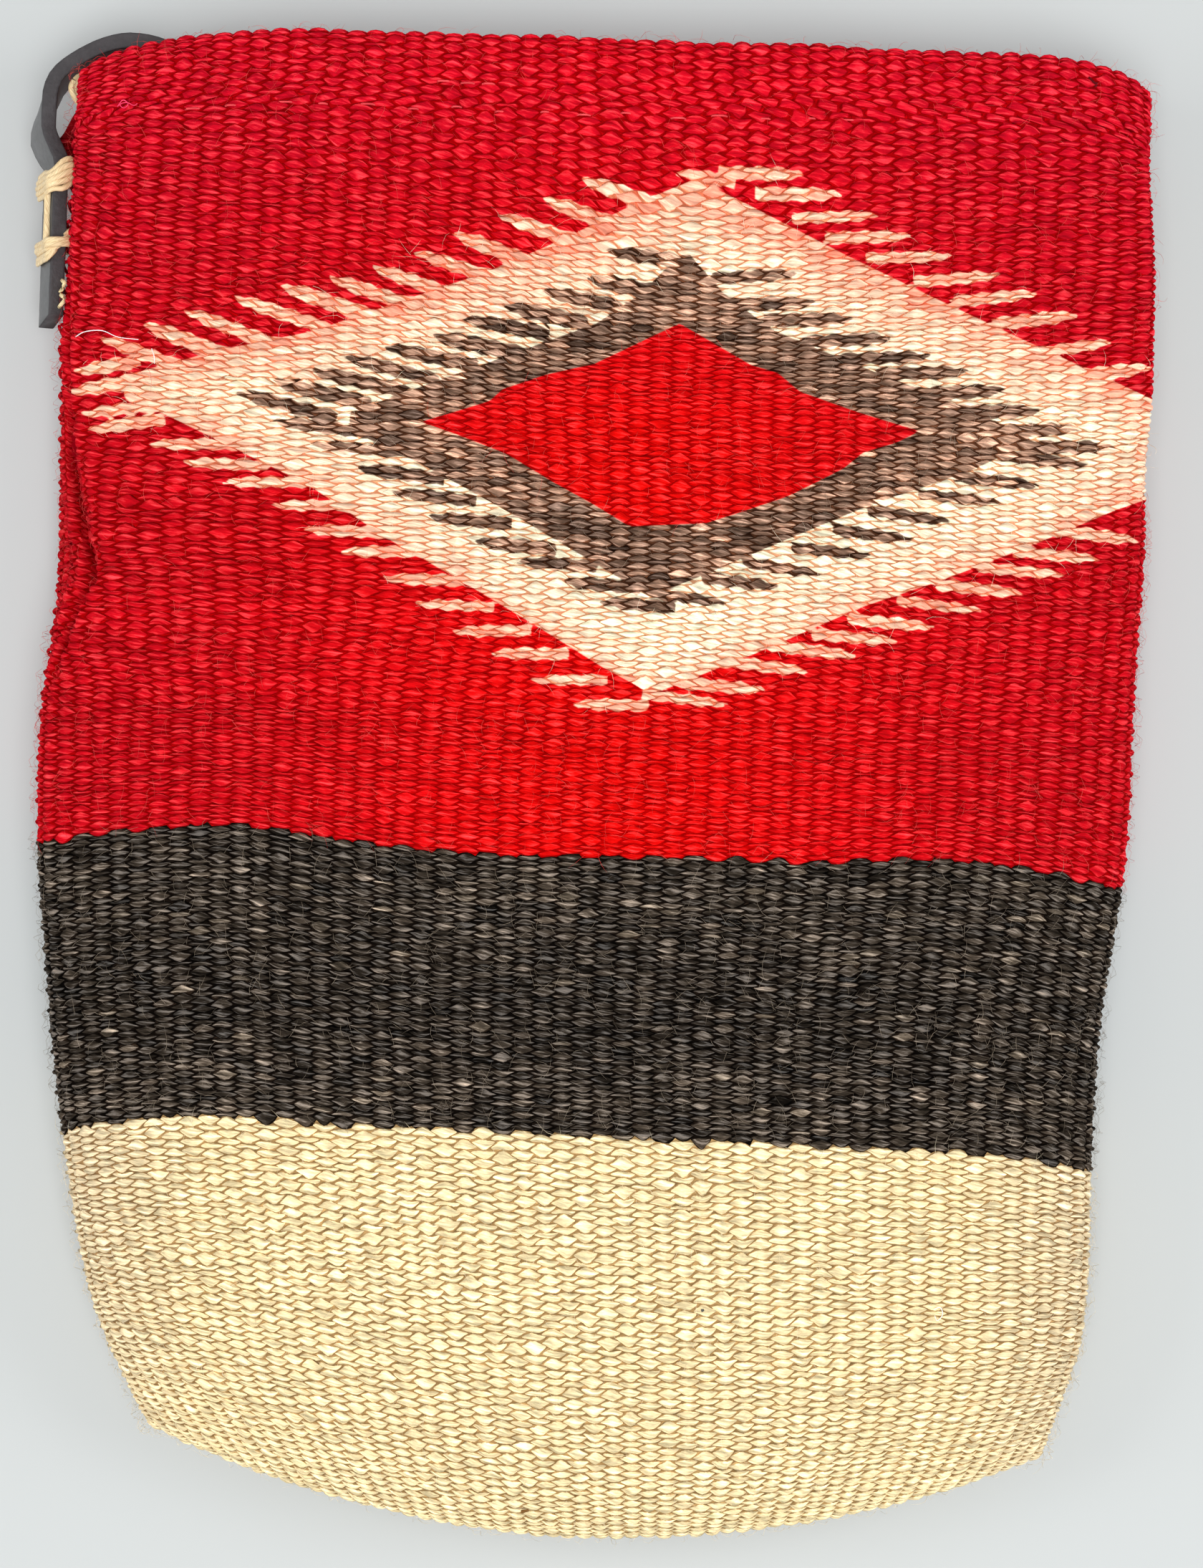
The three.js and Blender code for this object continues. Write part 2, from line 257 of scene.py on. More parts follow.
def clothPoint(form, share, angle):  # angle 0 is the right seam, pi the left one, below 0 the back
    width, shift, thickness, power = (smoothThrough(form["at"], form[key], share)
                                      for key in ("width", "shift", "thickness", "power"))
    power = np.where(angle >= 0, power, form["backPower"])
    across = np.sign(np.cos(angle)) * np.abs(np.cos(angle)) ** (2 / power)
    up = np.sign(np.sin(angle)) * np.abs(np.sin(angle)) ** (2 / power)
    foldShare = form["foldReach"] / form["length"]
    closing = np.clip((share - 1 + foldShare) / foldShare, 0, 1)
    puff = (thickness + form["pressed"]) / 2
    middle = puff - form["pressed"]
    down = share * form["length"]
    x = shift + across * width / 2 + sideDent(form, down, across, up)
    drop = np.where(across < 0, form["leftRimDrop"] * across ** 6, form["rightRimDrop"] * across ** 12)
    y = form["rimY"] - down + form["bottomRise"] * across ** 2 * share ** 3 - drop * (1 - share) ** 8
    reach = np.where(up >= 0, puff, middle)
    z = middle + up * reach * np.sqrt(1 - closing ** 2)
    return np.stack([x, y, z], -1)


def slitHalf(form, down):  # half the opening between the faces, above the side seams
    half = form["slitWidth"] / 2
    into = np.clip((down - form["seamStart"] + half) / half, 0, 1)
    return np.where(down < form["seamStart"], half * np.sqrt(1 - into ** 2), 0)


strip = {"middleSteps": 4000, "alongSteps": 420, "acrossSteps": 640, "fineSteps": 1600}


# The cloth is one strip: down the front, round the fold and up the back
def measureStrip(form, strip):
    share = 1 - (1 - np.linspace(0, 1, strip["middleSteps"])) ** 2
    run = runAlong(clothPoint(form, share, np.full_like(share, math.pi / 2)))
    frontLength = run[-1]
    shares = np.interp(np.linspace(0, frontLength, strip["alongSteps"] + 1), run, share)
    part = np.linspace(0, 1, strip["fineSteps"])
    turn = math.pi * (part - np.sin(2 * math.pi * part) / (2 * math.pi))
    goal = np.linspace(0, 1, strip["acrossSteps"] + 1)
    faces = []
    for sign in (1, -1):
        rows = []
        for oneShare in shares:
            line = clothPoint(form, np.full_like(turn, oneShare), sign * (math.pi - turn))
            gap = slitHalf(form, oneShare * form["length"])
            lift = sign * (line[:, 2] - form["seamLevel"]) if gap > 0 else np.full(len(line), 1.0)
            inside = np.nonzero(lift >= gap)[0]
            rows.append(placeAlong(line[inside[0]:inside[-1] + 1], goal))
        faces.append(np.array(rows))
    places = np.concatenate([faces[0], faces[1][::-1][1:]])
    step = frontLength / strip["alongSteps"]
    alongWay = np.gradient(places, step, axis=0)
    acrossWay = np.gradient(places, axis=1)
    normals = unit(np.cross(alongWay, acrossWay))
    print("stage: strip measured, front", round(frontLength, 1), "mm along the middle")
    return {"places": places, "normals": normals, "ways": unit(alongWay), "step": step,
            "front": frontLength, "whole": 2 * frontLength}


bag = measureStrip(bagForm, strip)


def lookUp(table, d, s):  # d in mm along the strip, s from 0 at the left edge to 1 at the right
    return blend(table, d / bag["step"], s * (table.shape[1] - 1))


def stripPlace(form, d, s):  # place and outward normal, past the rim round the hem and down inside
    radius = form["hemRadius"]
    roll = math.pi * radius
    whole = bag["whole"]
    back = d > bag["front"]
    fromRim = np.where(back, whole - d, d)
    flat = np.maximum(fromRim, radius)
    inner = np.maximum(radius - fromRim - roll, 0) + radius
    turned = radius - fromRim > roll
    at = np.where(turned, inner, flat)
    at = np.where(back, whole - at, at)
    place, normal = lookUp(bag["places"], at, s), unit(lookUp(bag["normals"], at, s))
    toRim = unit(lookUp(bag["ways"], at, s)) * np.where(back, 1, -1)[..., None]
    turn = np.clip((radius - fromRim) / radius, 0, math.pi)[..., None]
    rolled = normal * np.cos(turn) + toRim * np.sin(turn)
    onRoll = place - normal * radius + rolled * radius
    inside = place - normal * 2 * radius
    pick = turned[..., None]
    return np.where(pick, inside, onRoll), np.where(pick, -normal, rolled)


def seenFromAbove(places):  # where a place lies in the picture, in the figure's mm
    scale = (photoView["height"] - photoView["level"]) / (photoView["height"] - places[..., 2])
    x = (places[..., 0] - photoView["centre"][0]) * scale + photoView["middle"][0]
    y = (places[..., 1] - photoView["centre"][1]) * scale + photoView["middle"][1]
    return x, y


weave = {
    "columns": 58,          # warp ribs across the strip
    "rib": 3.9,             # from one column to the next, mm
    "zigzag": 0.12,         # how far the float's tips reach into the next column
    "zigzagPlay": 0.5,
    "ribDepth": 0.8,        # the tips dive under the next columns, mm
    "creaseDepth": 0.45,    # crease between two floats of a column
    "alongSteps": 4,
    "uneven": 0.22,         # the floats stand a little high or low, mm
    "jitter": 0.23,         # and are a little thick or thin, in rows
    "seed": 11,
    "mouthEnd": 118.0,      # the yarn is thicker above this height
    "figureEnd": 13.0,      # and thinner below this one
    "pitch": {"frontHem": 1.75, "frontRim": 1.6, "frontMouth": 1.75, "frontFigure": 1.42, "frontLow": 1.22,
              "frontCharcoal": 1.27, "frontCream": 1.76, "backCream": 1.76, "backCharcoal": 1.5,
              "backRed": 1.65, "backRim": 1.6, "backHem": 1.75},  # from float to float in a column, mm
    "redEdge": ((-112, -97, -84, -71, -52, -30, 0, 40, 68, 88, 112),
                (-15.0, -12.6, -10.6, -9.8, -11.8, -13.6, -13.8, -13.4, -12.0, -13.8, -18.6)),
    "creamEdge": ((-112, -96, -75, -40, 0, 50, 85, 112),
                  (-73.5, -69.6, -67.4, -68.0, -68.6, -68.8, -70.0, -74.0)),
    "sag": {"drop": 7.0, "place": (40.0, 0.565), "reach": (26.0, 0.22), "fade": 15.0},  # the weft hangs lower
    "endRows": 4,           # the rows stop wandering towards the hems
    "leanLift": 0.25,       # a leaning float's tip rises by this much of a row
    "roundness": 2.2,       # of the floats' section
    "fibreShift": ((12.41, 22.63), (16.79, 9.49)),  # the fibres differ from column to column and row to row
}


# Rows of floats from hem to hem: each stretch begins where the one before it ends
def planRows(form, weave):
    across = np.linspace(0, 1, 241)
    along = np.linspace(0, bag["front"], 900)
    d, s = np.meshgrid(along, across, indexing="ij")
    x, y = seenFromAbove(lookUp(bag["places"], d, s))

    def edge(points):
        over = y - smoothThrough(points[0], points[1], np.clip(x, points[0][0], points[0][-1]))
        return np.array([np.interp(0, -over[:, k], along) for k in range(len(across))])

    red, cream = edge(weave["redEdge"]), edge(weave["creamEdge"])
    mouth, figure = (edge(((-112, 112), (weave[key],) * 2)) for key in ("mouthEnd", "figureEnd"))
    middle = len(across) // 2
    one = np.ones_like(across)
    radius, roll = form["hemRadius"], math.pi * form["hemRadius"]
    hem = form["hemDepth"] - radius
    front, whole = bag["front"], bag["whole"]
    ends = [(radius - roll - hem) * one, (radius - roll) * one, radius * one, mouth, figure, red, cream,
            front * one, (whole - cream[middle]) * one, (whole - red[middle]) * one,
            (whole - radius) * one, (whole - radius + roll) * one, (whole - radius + roll + hem) * one]
    names = list(weave["pitch"])
    counts = [max(2, round((ends[k + 1][middle] - ends[k][middle]) / weave["pitch"][name]))
              for k, name in enumerate(names)]
    starts = np.concatenate([[0], np.cumsum(counts)])
    print("stage: rows", dict(zip(names, counts)), "in all", int(starts[-1]))
    return {"names": names, "starts": starts, "ends": np.array(ends)}


rows = planRows(bagForm, weave)
start = dict(zip(rows["names"] + ["end"], (int(k) for k in rows["starts"])))


def softNoise(rng, shape, cells):  # smooth noise, about -1 to 1
    grid = rng.standard_normal((cells[0] + 3, cells[1] + 3))
    a = np.linspace(0, cells[0], shape[0])
    b = np.linspace(0, cells[1], shape[1])
    i, j = a.astype(int), b.astype(int)
    fa, fb = a - i, b - j
    row, column = i + fa * fa * (3 - 2 * fa), j + fb * fb * (3 - 2 * fb)
    return 0.6 * blend(grid, *np.meshgrid(row, column, indexing="ij"))


rng = np.random.default_rng(weave["seed"])
allRows = int(rows["starts"][-1])
gridShape = (allRows + 1, weave["columns"] + 1)
wander = {  # how the hand-made cloth wanders
    "rowShift": 0.25 * softNoise(rng, gridShape, (170, 20)),
    "columnShift": 0.08 * softNoise(rng, gridShape, (44, 40)),
    "swell": 0.55 * softNoise(rng, gridShape, (26, 9)),
    "height": rng.uniform(-1, 1, (weave["columns"], allRows + 3)),
    "crease": weave["jitter"] * np.clip(rng.standard_normal((weave["columns"], allRows + 4)), -2, 2),
    "zigzag": 1 + weave["zigzagPlay"] * rng.uniform(-1, 1, (allRows * weave["alongSteps"] + 1,
                                                            weave["columns"] + 1)),
    "leaning": 0.35 * softNoise(rng, gridShape, (60, 18)) + 0.25 * softNoise(rng, gridShape, (allRows, 54)),
}
wander["zigzag"][:, [0, -1]] = 0


def alongStrip(v, u):  # row and column of the weave to mm along the strip
    s = np.clip(u / weave["columns"], 0, 1)
    v = v + blend(wander["rowShift"], v, u) * ramp(np.minimum(v, allRows - v), 0, weave["endRows"])
    k = np.clip(np.searchsorted(rows["starts"], v, side="right") - 1, 0, len(rows["names"]) - 1)
    part = (v - rows["starts"][k]) / (rows["starts"][k + 1] - rows["starts"][k])
    d = blend(rows["ends"], k + part, s * (rows["ends"].shape[1] - 1))
    sag = weave["sag"]
    hang = hump(d, sag["place"][0], sag["reach"][0]) * hump(s, sag["place"][1], sag["reach"][1])
    return d + sag["drop"] * hang * ramp(d, 0, sag["fade"]), s


# Beside the strap the left side is pressed in, the back's corner and the right edge stand out
dents = (
    {"move": 0.6, "y": 105.0, "reach": 19.0, "power": 6, "levels": (11.0, 17.0), "sides": (-95.0, -104.0)},
    {"move": -4.4, "y": 126.0, "reach": 7.0, "power": 4, "levels": (16.0, 13.0), "sides": (-95.0, -104.0)},
    {"move": 1.1, "y": 93.0, "reach": 24.0, "power": 4, "levels": (15.0, 19.0), "sides": (92.0, 101.0)},
)


def pressStrap(place):
    x, y, z = place[..., 0], place[..., 1], place[..., 2]
    moves = [dent["move"] * hump(y, dent["y"], dent["reach"], dent["power"]) * ramp(z, *dent["levels"])
             * ramp(x, *dent["sides"]) for dent in dents]
    return np.stack([x + sum(moves), y, z], -1)


# The crease in the left side: the front hangs over the cloth below it, in the figure's mm
fold = {
    "heights": (15, 21.4, 27.6, 32.9, 36.6, 40.2, 45.8, 54.1, 62.3, 71.5, 86.1, 95),
    "places": (-107.8, -106, -103.8, -101.5, -99.2, -99.1, -100.5, -102.6, -104.4, -105.7, -106.5, -107.2),
    "fade": ((15, 24, 33, 52, 70, 92), (0, 0.6, 1, 1, 0.85, 0.15)),
    "deep": (11.0, 1.3),   # mm down beside the front, and how far that reaches outwards
    "ridge": (3.0, 3.6, 1.8),  # the lower cloth stands up by this much, so far out, over this reach
    "under": (2.2, 1.0),   # mm back in under the front, and its reach
    "lip": 0.9,
    "lipReach": 3.5,
    "turn": 0.5,           # half the width over which the cloth turns under
    "levels": (13.0, 16.0),  # only the cloth above these heights is folded
    "side": -80.0,
    "drawn": 0.34,         # the share of the width whose ribs are drawn towards the crease
}


def foldSide(place):
    x, y = seenFromAbove(place)
    away = x - np.interp(y, fold["heights"], fold["places"])
    part = np.interp(y, *fold["fade"]) * ramp(place[..., 2], *fold["levels"]) * (x < fold["side"])
    over = ramp(away, -fold["turn"], fold["turn"])
    out = np.minimum(away, 0)
    rise, far, reach = fold["ridge"]
    down = fold["deep"][0] * hump(out, 0, fold["deep"][1]) - rise * hump(out, -far, reach)
    under = fold["under"][0] * hump(out, 0, fold["under"][1]) * (1 - over)
    lip = fold["lip"] * hump(np.maximum(away, 0), 0, fold["lipReach"]) * over
    return place + part[..., None] * np.stack([under - lip, 0 * x, 0.5 * lip - down * (1 - over)], -1)


def drawIn():  # the ribs keep an even spacing over the crease: where each one lies across the strip
    places = foldSide(bag["places"])
    s = np.linspace(0, 1, places.shape[1])
    near = s[:int(fold["drawn"] * len(s))]
    steps = np.linalg.norm(np.diff(places[:, :len(near)], axis=1), axis=-1)
    drawn = np.tile(s, (len(places), 1))
    for row, step in zip(drawn, steps):
        run = np.concatenate([[0], np.cumsum(step)])
        row[:len(near)] = np.interp(near / near[-1] * run[-1], run, near)
    return drawn[..., None]


bag["drawn"] = drawIn()


def weavePlace(v, u):
    d, s = alongStrip(v, u)
    s = lookUp(bag["drawn"], d, s)[..., 0]
    place, normal = stripPlace(bagForm, d, s)
    swell = blend(wander["swell"], v, u) * np.clip(normal[..., 2], 0, 1) ** 0.5
    return foldSide(pressStrap(place + normal * swell[..., None])), normal, d, s


# Middles of all floats: column i, row k begins at k + half a row in every second column
columnIndex = np.arange(weave["columns"])
rowIndex = np.arange(-1, allRows + 1)
floatV = rowIndex[None, :] + 0.5 + 0.5 * (columnIndex[:, None] % 2)
floatU = np.repeat(columnIndex[:, None] + 0.5, len(rowIndex), 1)
floatPlace = weavePlace(np.clip(floatV, 0, allRows), floatU)[0]
floatX, floatY = seenFromAbove(floatPlace)
onFront = (floatV > start["frontRim"]) & (floatV < start["backCream"])

# The figure on the front, in mm in the picture: each edge of the two diamonds ends in pointed fingers
# tips: the line of their tips, ways: from a tip to its root at both ends of that line
# half: half a finger's width, lean: how the floats follow it
diamond = {
    "creamField": ((15, 119), (3, 113.5), (-11, 106), (-26, 99), (-42, 93), (-59, 86.5), (-76, 82.5),
                   (-87.5, 79), (-96, 76.5), (-95, 72), (-87.5, 69.5), (-78.5, 65.5), (-58.5, 56.5),
                   (-43.5, 47), (-27.5, 38.5), (-13, 30.5), (0, 23), (10, 18), (29.5, 26.5), (50.5, 36.5),
                   (66.5, 42.5), (85, 50.5), (99, 57), (108, 60.5), (108, 78), (97.5, 82.5), (79.5, 90),
                   (62, 97.5), (45, 105), (27, 113.5)),
    "charcoalField": ((14, 104.5), (9.5, 101), (5, 96), (-3.5, 90), (-26, 81), (-51, 71), (-51, 67.5),
                      (-37, 61.5), (-20, 53), (-4.5, 44.5), (9, 37), (20, 42), (35, 49), (51.5, 56.5),
                      (70, 63.5), (82, 69.5), (82, 71), (64, 78), (47, 84), (31, 90), (21, 97)),
    "redField": ((-37, 69.6), (-23.9, 74.1), (-21.2, 76.6), (-12.9, 79.7), (-3.6, 82.1), (12.8, 90.6),
                 (27.2, 82.9), (32.4, 81.6), (36.8, 78.1), (48.9, 74.3), (60.5, 71.2), (56, 68.8),
                 (49.5, 66.6), (46, 63.5), (41, 60.7), (35.2, 57.6), (28.3, 55), (19.5, 51.8),
                 (4.5, 50.6), (-3.0, 54.8), (-10.7, 58.7), (-20.2, 64.0), (-29.7, 67.3)),
    "creamFingers": (
        {"tips": ((-100, 83.7), (-75.5, 92.5), (-49.5, 99), (-30.5, 107.5), (-7.5, 118)), "count": 12,
         "ways": ((19, -6.0), (16, -5.2)), "half": 1.35, "lean": -1.0},
        {"tips": ((9.9, 120.1), (10, 120.1)), "count": 1,
         "ways": ((12, -1.5), (12, -1.5)), "half": 1.2, "lean": -0.3},
        {"tips": ((-105.2, 77.1), (-106.2, 73.3), (-105, 69), (-101.2, 65.6)), "count": 4,
         "ways": ((13, 2.3), (15, 3.0)), "half": 1.2, "lean": 0.8},
        {"tips": ((-91, 63.3), (-74.5, 56.3), (-56, 46.8), (-34, 32.3), (-5.4, 15.7)), "count": 12,
         "ways": ((17, 0.2), (15, 0.4)), "half": 1.05, "lean": 0.0},
        {"tips": ((35.3, 120.8), (61, 108), (86, 98), (105.2, 85.5)), "count": 10,
         "ways": ((-17, 0), (-17, -3.2)), "half": 1.2, "lean": 0.4},
        {"tips": ((24.4, 16.3), (49.5, 27), (73, 36.3), (105, 51.5)), "count": 11,
         "ways": ((-17, 1.1), (-17, 1.3)), "half": 1.05, "lean": -0.6},
    ),
    "charcoalFingers": (
        {"tips": ((-3, 104), (-2.8, 100), (-10, 97.5), (-41, 85), (-74.5, 74)), "count": 11,
         "ways": ((15, -1.8), (20, -4.4)), "half": 1.4, "lean": -0.9},
        {"tips": ((-66.5, 69), (-50, 60), (-26.5, 47), (-0.6, 35.5)), "count": 9,
         "ways": ((18, -1.6), (15, -0.6)), "half": 1.2, "lean": -0.2},
        {"tips": ((36, 101), (35.6, 97), (44.5, 93.6), (67.5, 84), (100, 69.5)), "count": 10,
         "ways": ((-17, -1.5), (-19, -1.0)), "half": 1.25, "lean": 0.3},
        {"tips": ((25, 36), (50, 46), (66.5, 53), (93, 65.5)), "count": 9,
         "ways": ((-15, 1.8), (-17, 1.4)), "half": 1.1, "lean": -0.6},
    ),
    "taper": 5.0,           # a finger thickens over this length from its tip, mm
    "wave": 0.25,           # it winds over and under the ribs
    "play": {"tip": (1.1, 0.35), "way": 0.5, "half": 0.12},  # how far the fingers differ
    "leanReach": 8.0,       # the floats near the fingers lean with them
}
wool = {"red": 0, "cream": 1, "charcoal": 2}


def insideOutline(x, y, outline):
    inside = np.zeros(x.shape, bool)
    for (x0, y0), (x1, y1) in zip(outline, outline[1:] + outline[:1]):
        crosses = (y0 > y) != (y1 > y)
        inside ^= crosses & (x < (x1 - x0) * (y - y0) / ((y1 - y0) or 1e-9) + x0)
    return inside


def planFingers(edges, seed):
    draw = np.random.default_rng(weave["seed"] + seed)
    play = diamond["play"]
    fingers = []
    for edge in edges:
        tips, ways = np.array(edge["tips"], float), np.array(edge["ways"], float)
        for part in np.linspace(0, 1, edge["count"]):
            way = ways[0] + (ways[1] - ways[0]) * part
            fingers.append({
                "tip": placeAlong(tips, part) + draw.uniform(-np.array(play["tip"]), play["tip"]),
                "way": way + (0, draw.uniform(-play["way"], play["way"])),
                "half": edge["half"] * draw.uniform(1 - play["half"], 1 + play["half"]),
                "turn": draw.uniform(0, 6.3),
            })
    return fingers


def nearOutline(x, y, outline):  # distance to the outline, mm
    near = np.full(x.shape, 1e9)
    for (x0, y0), (x1, y1) in zip(outline, outline[1:] + outline[:1]):
        length = math.hypot(x1 - x0, y1 - y0)
        along = np.clip(((x - x0) * (x1 - x0) + (y - y0) * (y1 - y0)) / length ** 2, 0, 1)
        near = np.minimum(near, np.hypot(x - x0 - along * (x1 - x0), y - y0 - along * (y1 - y0)))
    return near


def fieldDepth(x, y, outline):  # mm inside the outline, below 0 outside it
    return np.where(insideOutline(x, y, outline), 1, -1) * nearOutline(x, y, outline)


def fingerDepth(x, y, fingers):
    depth = np.full(x.shape, -9.0)
    for finger in fingers:
        length = np.linalg.norm(finger["way"])
        over, up = finger["way"] / length
        dx, dy = x - finger["tip"][0], y - finger["tip"][1]
        along, across = dx * over + dy * up, dy * over - dx * up
        half = finger["half"] * np.clip(along / diamond["taper"], 0, 1) ** 0.6
        wave = diamond["wave"] * np.sin(2 * math.pi * along / weave["rib"] + finger["turn"])
        one = np.minimum(half - np.abs(across - wave), np.minimum(along, length - along))
        depth = np.maximum(depth, one)
    return depth


creamFingers = planFingers(diamond["creamFingers"], 1)
charcoalFingers = planFingers(diamond["charcoalFingers"], 2)


def figureDepth(x, y):  # mm inside the cream, the charcoal and the red part of the figure
    cream = np.maximum(fieldDepth(x, y, diamond["creamField"]), fingerDepth(x, y, creamFingers))
    charcoal = np.maximum(fieldDepth(x, y, diamond["charcoalField"]), fingerDepth(x, y, charcoalFingers))
    return np.stack([cream, charcoal, fieldDepth(x, y, diamond["redField"])], -1)


def figureKind(x, y):  # which wool shows at a place of the red front
    cream, charcoal, red = np.moveaxis(figureDepth(x, y) > 0, -1, 0)
    inFigure = np.where(charcoal, wool["charcoal"], wool["cream"])
    return np.where(red | ~(cream | charcoal), wool["red"], inFigure)


def planColours():
    kind = np.full(floatV.shape, wool["red"])
    kind[(floatV > start["frontCharcoal"]) & (floatV < start["backRed"])] = wool["charcoal"]
    kind[(floatV > start["frontCream"]) & (floatV < start["backCharcoal"])] = wool["cream"]
    redFront = (floatV > start["frontMouth"]) & (floatV < start["frontCharcoal"])
    return np.where(redFront, figureKind(floatX, floatY), kind)


floatKind = planColours()
print("stage: figure woven,", int((floatKind == wool["cream"]).sum()), "cream floats")

dye = {
    # painted light and shade on the red: brighter and orange-red in the middle, darker and crimson at the
    # sides and towards the top
    "litMiddleRed": linear(231, 10, 8),
    "shadedSideRed": linear(194, 10, 27),
    "shadedTopRed": linear(200, 11, 39),
    "bottomCream": linear(246, 225, 176),
    "sideDarkening": np.array((0.8, 0.79, 0.87)),  # the cream wool is painted darker and greyer towards the sides
    "figureCream": linear(255, 246, 212),
    "bleed": linear(255, 140, 112),
    "charcoal": linear(67, 58, 49),
    "figureCharcoal": linear(156, 120, 99),
    "fleck": linear(120, 106, 90),
    "streak": {"red": 2.3, "cream": 2.4, "charcoal": 9.0, "figureCream": 2.2, "figureCharcoal": 5.0},
    # crease: painted shade, the float's tone is multiplied by this in the creases between floats
    "crease": {"red": (0.52, 0.03, 0.1), "cream": (0.4, 0.3, 0.21), "charcoal": (0.1, 0.08, 0.07),
               "figureCream": (0.66, 0.36, 0.26), "figureCharcoal": (0.24, 0.15, 0.1)},
    # ends: painted shade at the float's ends, where they dive under the next columns
    "ends": {"red": 1.2, "cream": 0.45, "charcoal": 1.1, "figureCream": 0.55, "figureCharcoal": 1.0},
    "figureBase": 10.0,     # added to the figure's depths, so that 0 means no figure
    "figureEdge": (-0.15, 0.15),  # mm over which one wool gives way to the next
    "uneven": (0.05, 120),  # how much the rows differ in light, and in how many bands
    "bands": (0.35, 70),    # the same for the charcoal
    "heather": 6,           # more makes the charcoal floats more alike
    "flecks": 0.025,        # share of pale floats in the charcoal
    "litMiddle": (4.0, 62.0),    # painted light: the red is brighter and more orange around this place, over this reach
    "topShadeHeights": (70.0, 130.0),  # painted shade: the red grows darker and more crimson between these heights
    "topShadeMost": 0.7,
    "sideDarkeningFrom": (74.0, 100.0),
    "bleedHeights": (20.0, 110.0),  # red dye has run into the figure's cream, more so higher up
    "bleedShare": (0.5, 0.9),
    "bleedReach": (4.0, 10.0),
    "bleedFingers": 0.7,
    "seed": 23,
}  # streak: how much the fibres differ in light, crease: painted shade in the creases between floats, ends: how strong the painted shade at the float's ends is


def dyeFloats(dye):
    draw = np.random.default_rng(dye["seed"])
    shape = floatV.shape

    def rowLight(much, count):
        noise = softNoise(draw, (len(rowIndex), 2), (count, 1))[:, 0]
        return 1 + much * np.interp(floatV, rowIndex, noise)

    bright = draw.normal(1, dye["uneven"][0], shape) * rowLight(*dye["uneven"])
    # painted light in the middle of the red, painted shade at its sides and towards its top
    litMiddle = hump(floatX, *dye["litMiddle"])[..., None]
    top = dye["topShadeMost"] * ramp(floatY, *dye["topShadeHeights"])[..., None]
    red = (dye["shadedSideRed"] * (1 - litMiddle) + dye["litMiddleRed"] * litMiddle) * (1 - top) + dye["shadedTopRed"] * top
    figure = (onFront & (floatY > 0))[..., None]
    inField = insideOutline(floatX, floatY, diamond["creamField"])
    toRed = nearOutline(floatX, floatY, diamond["creamField"])
    share, reach = (np.interp(floatY, dye["bleedHeights"], dye[key]) for key in ("bleedShare", "bleedReach"))
    bleed = np.where(inField, share * np.exp(-toRed / reach), dye["bleedFingers"])
    bleed = np.clip(bleed * draw.uniform(0.6, 1.2, shape), 0, 1)[..., None]
    # the cream is darker and greyer towards both sides
    sideDarkenedCream = dye["bottomCream"] * dye["sideDarkening"] ** ramp(np.abs(floatX), *dye["sideDarkeningFrom"])[..., None]
    cream = np.where(figure, dye["figureCream"] * (1 - bleed) + dye["bleed"] * bleed, sideDarkenedCream)
    dark = np.where(figure, dye["figureCharcoal"], dye["charcoal"])
    heather = draw.gamma(dye["heather"], 1 / dye["heather"], shape)
    dark = dark * (heather * rowLight(*dye["bands"]))[..., None]
    fleck = (draw.uniform(0, 1, shape) < dye["flecks"])[..., None] & ~figure
    dark = np.where(fleck, dye["fleck"] * draw.uniform(0.4, 1, shape)[..., None], dark)
    return np.clip(np.stack([red, cream, dark]) * bright[..., None], 0, 1)


floatTones = dyeFloats(dye)  # for each wool, so that a float may show two
columnOf, rowOf = np.indices(floatKind.shape)
floatColour = floatTones[floatKind, columnOf, rowOf]
# painted shade for the creases between floats, for each wool
creaseShadeTones = np.array([dye["crease"][name] for name in wool])
habits = np.array([(dye["ends"][name], dye["streak"][name], 0) for name in wool])


# How the floats lean: 1 lifts the right tip by a quarter row; in the feathered edges they follow the fingers
leanings = (
    {"place": (-40, -95), "reach": (60, 26), "lean": 0.6},
    {"place": (60, -95), "reach": (60, 45), "lean": 0.35},
    {"place": (0, -40), "reach": (120, 26), "lean": -0.15},
    {"place": (40, 8), "reach": (70, 20), "lean": 0.3},
)


def planLeaning():
    v, u = np.meshgrid(np.arange(gridShape[0]) * 1.0, np.arange(gridShape[1]) * 1.0, indexing="ij")
    x, y = seenFromAbove(weavePlace(v, u)[0])
    front = (v > start["frontRim"]) & (v < start["backCream"])
    field = wander["leaning"].copy()
    for one in leanings:
        across, along = ((a - b) / c for a, b, c in zip((x, y), one["place"], one["reach"]))
        field += front * one["lean"] * np.exp(-across ** 2 - along ** 2)
    for finger in diamond["creamFingers"] + diamond["charcoalFingers"]:
        over, up = np.mean(finger["ways"], 0) / 2
        near = nearOutline(x - over, y - up, finger["tips"] + finger["tips"][-2:0:-1])
        weight = hump(near, 0, diamond["leanReach"]) * front
        field = field * (1 - weight) + finger["lean"] * weight
    return np.clip(field, -1, 1)


leanField = planLeaning()


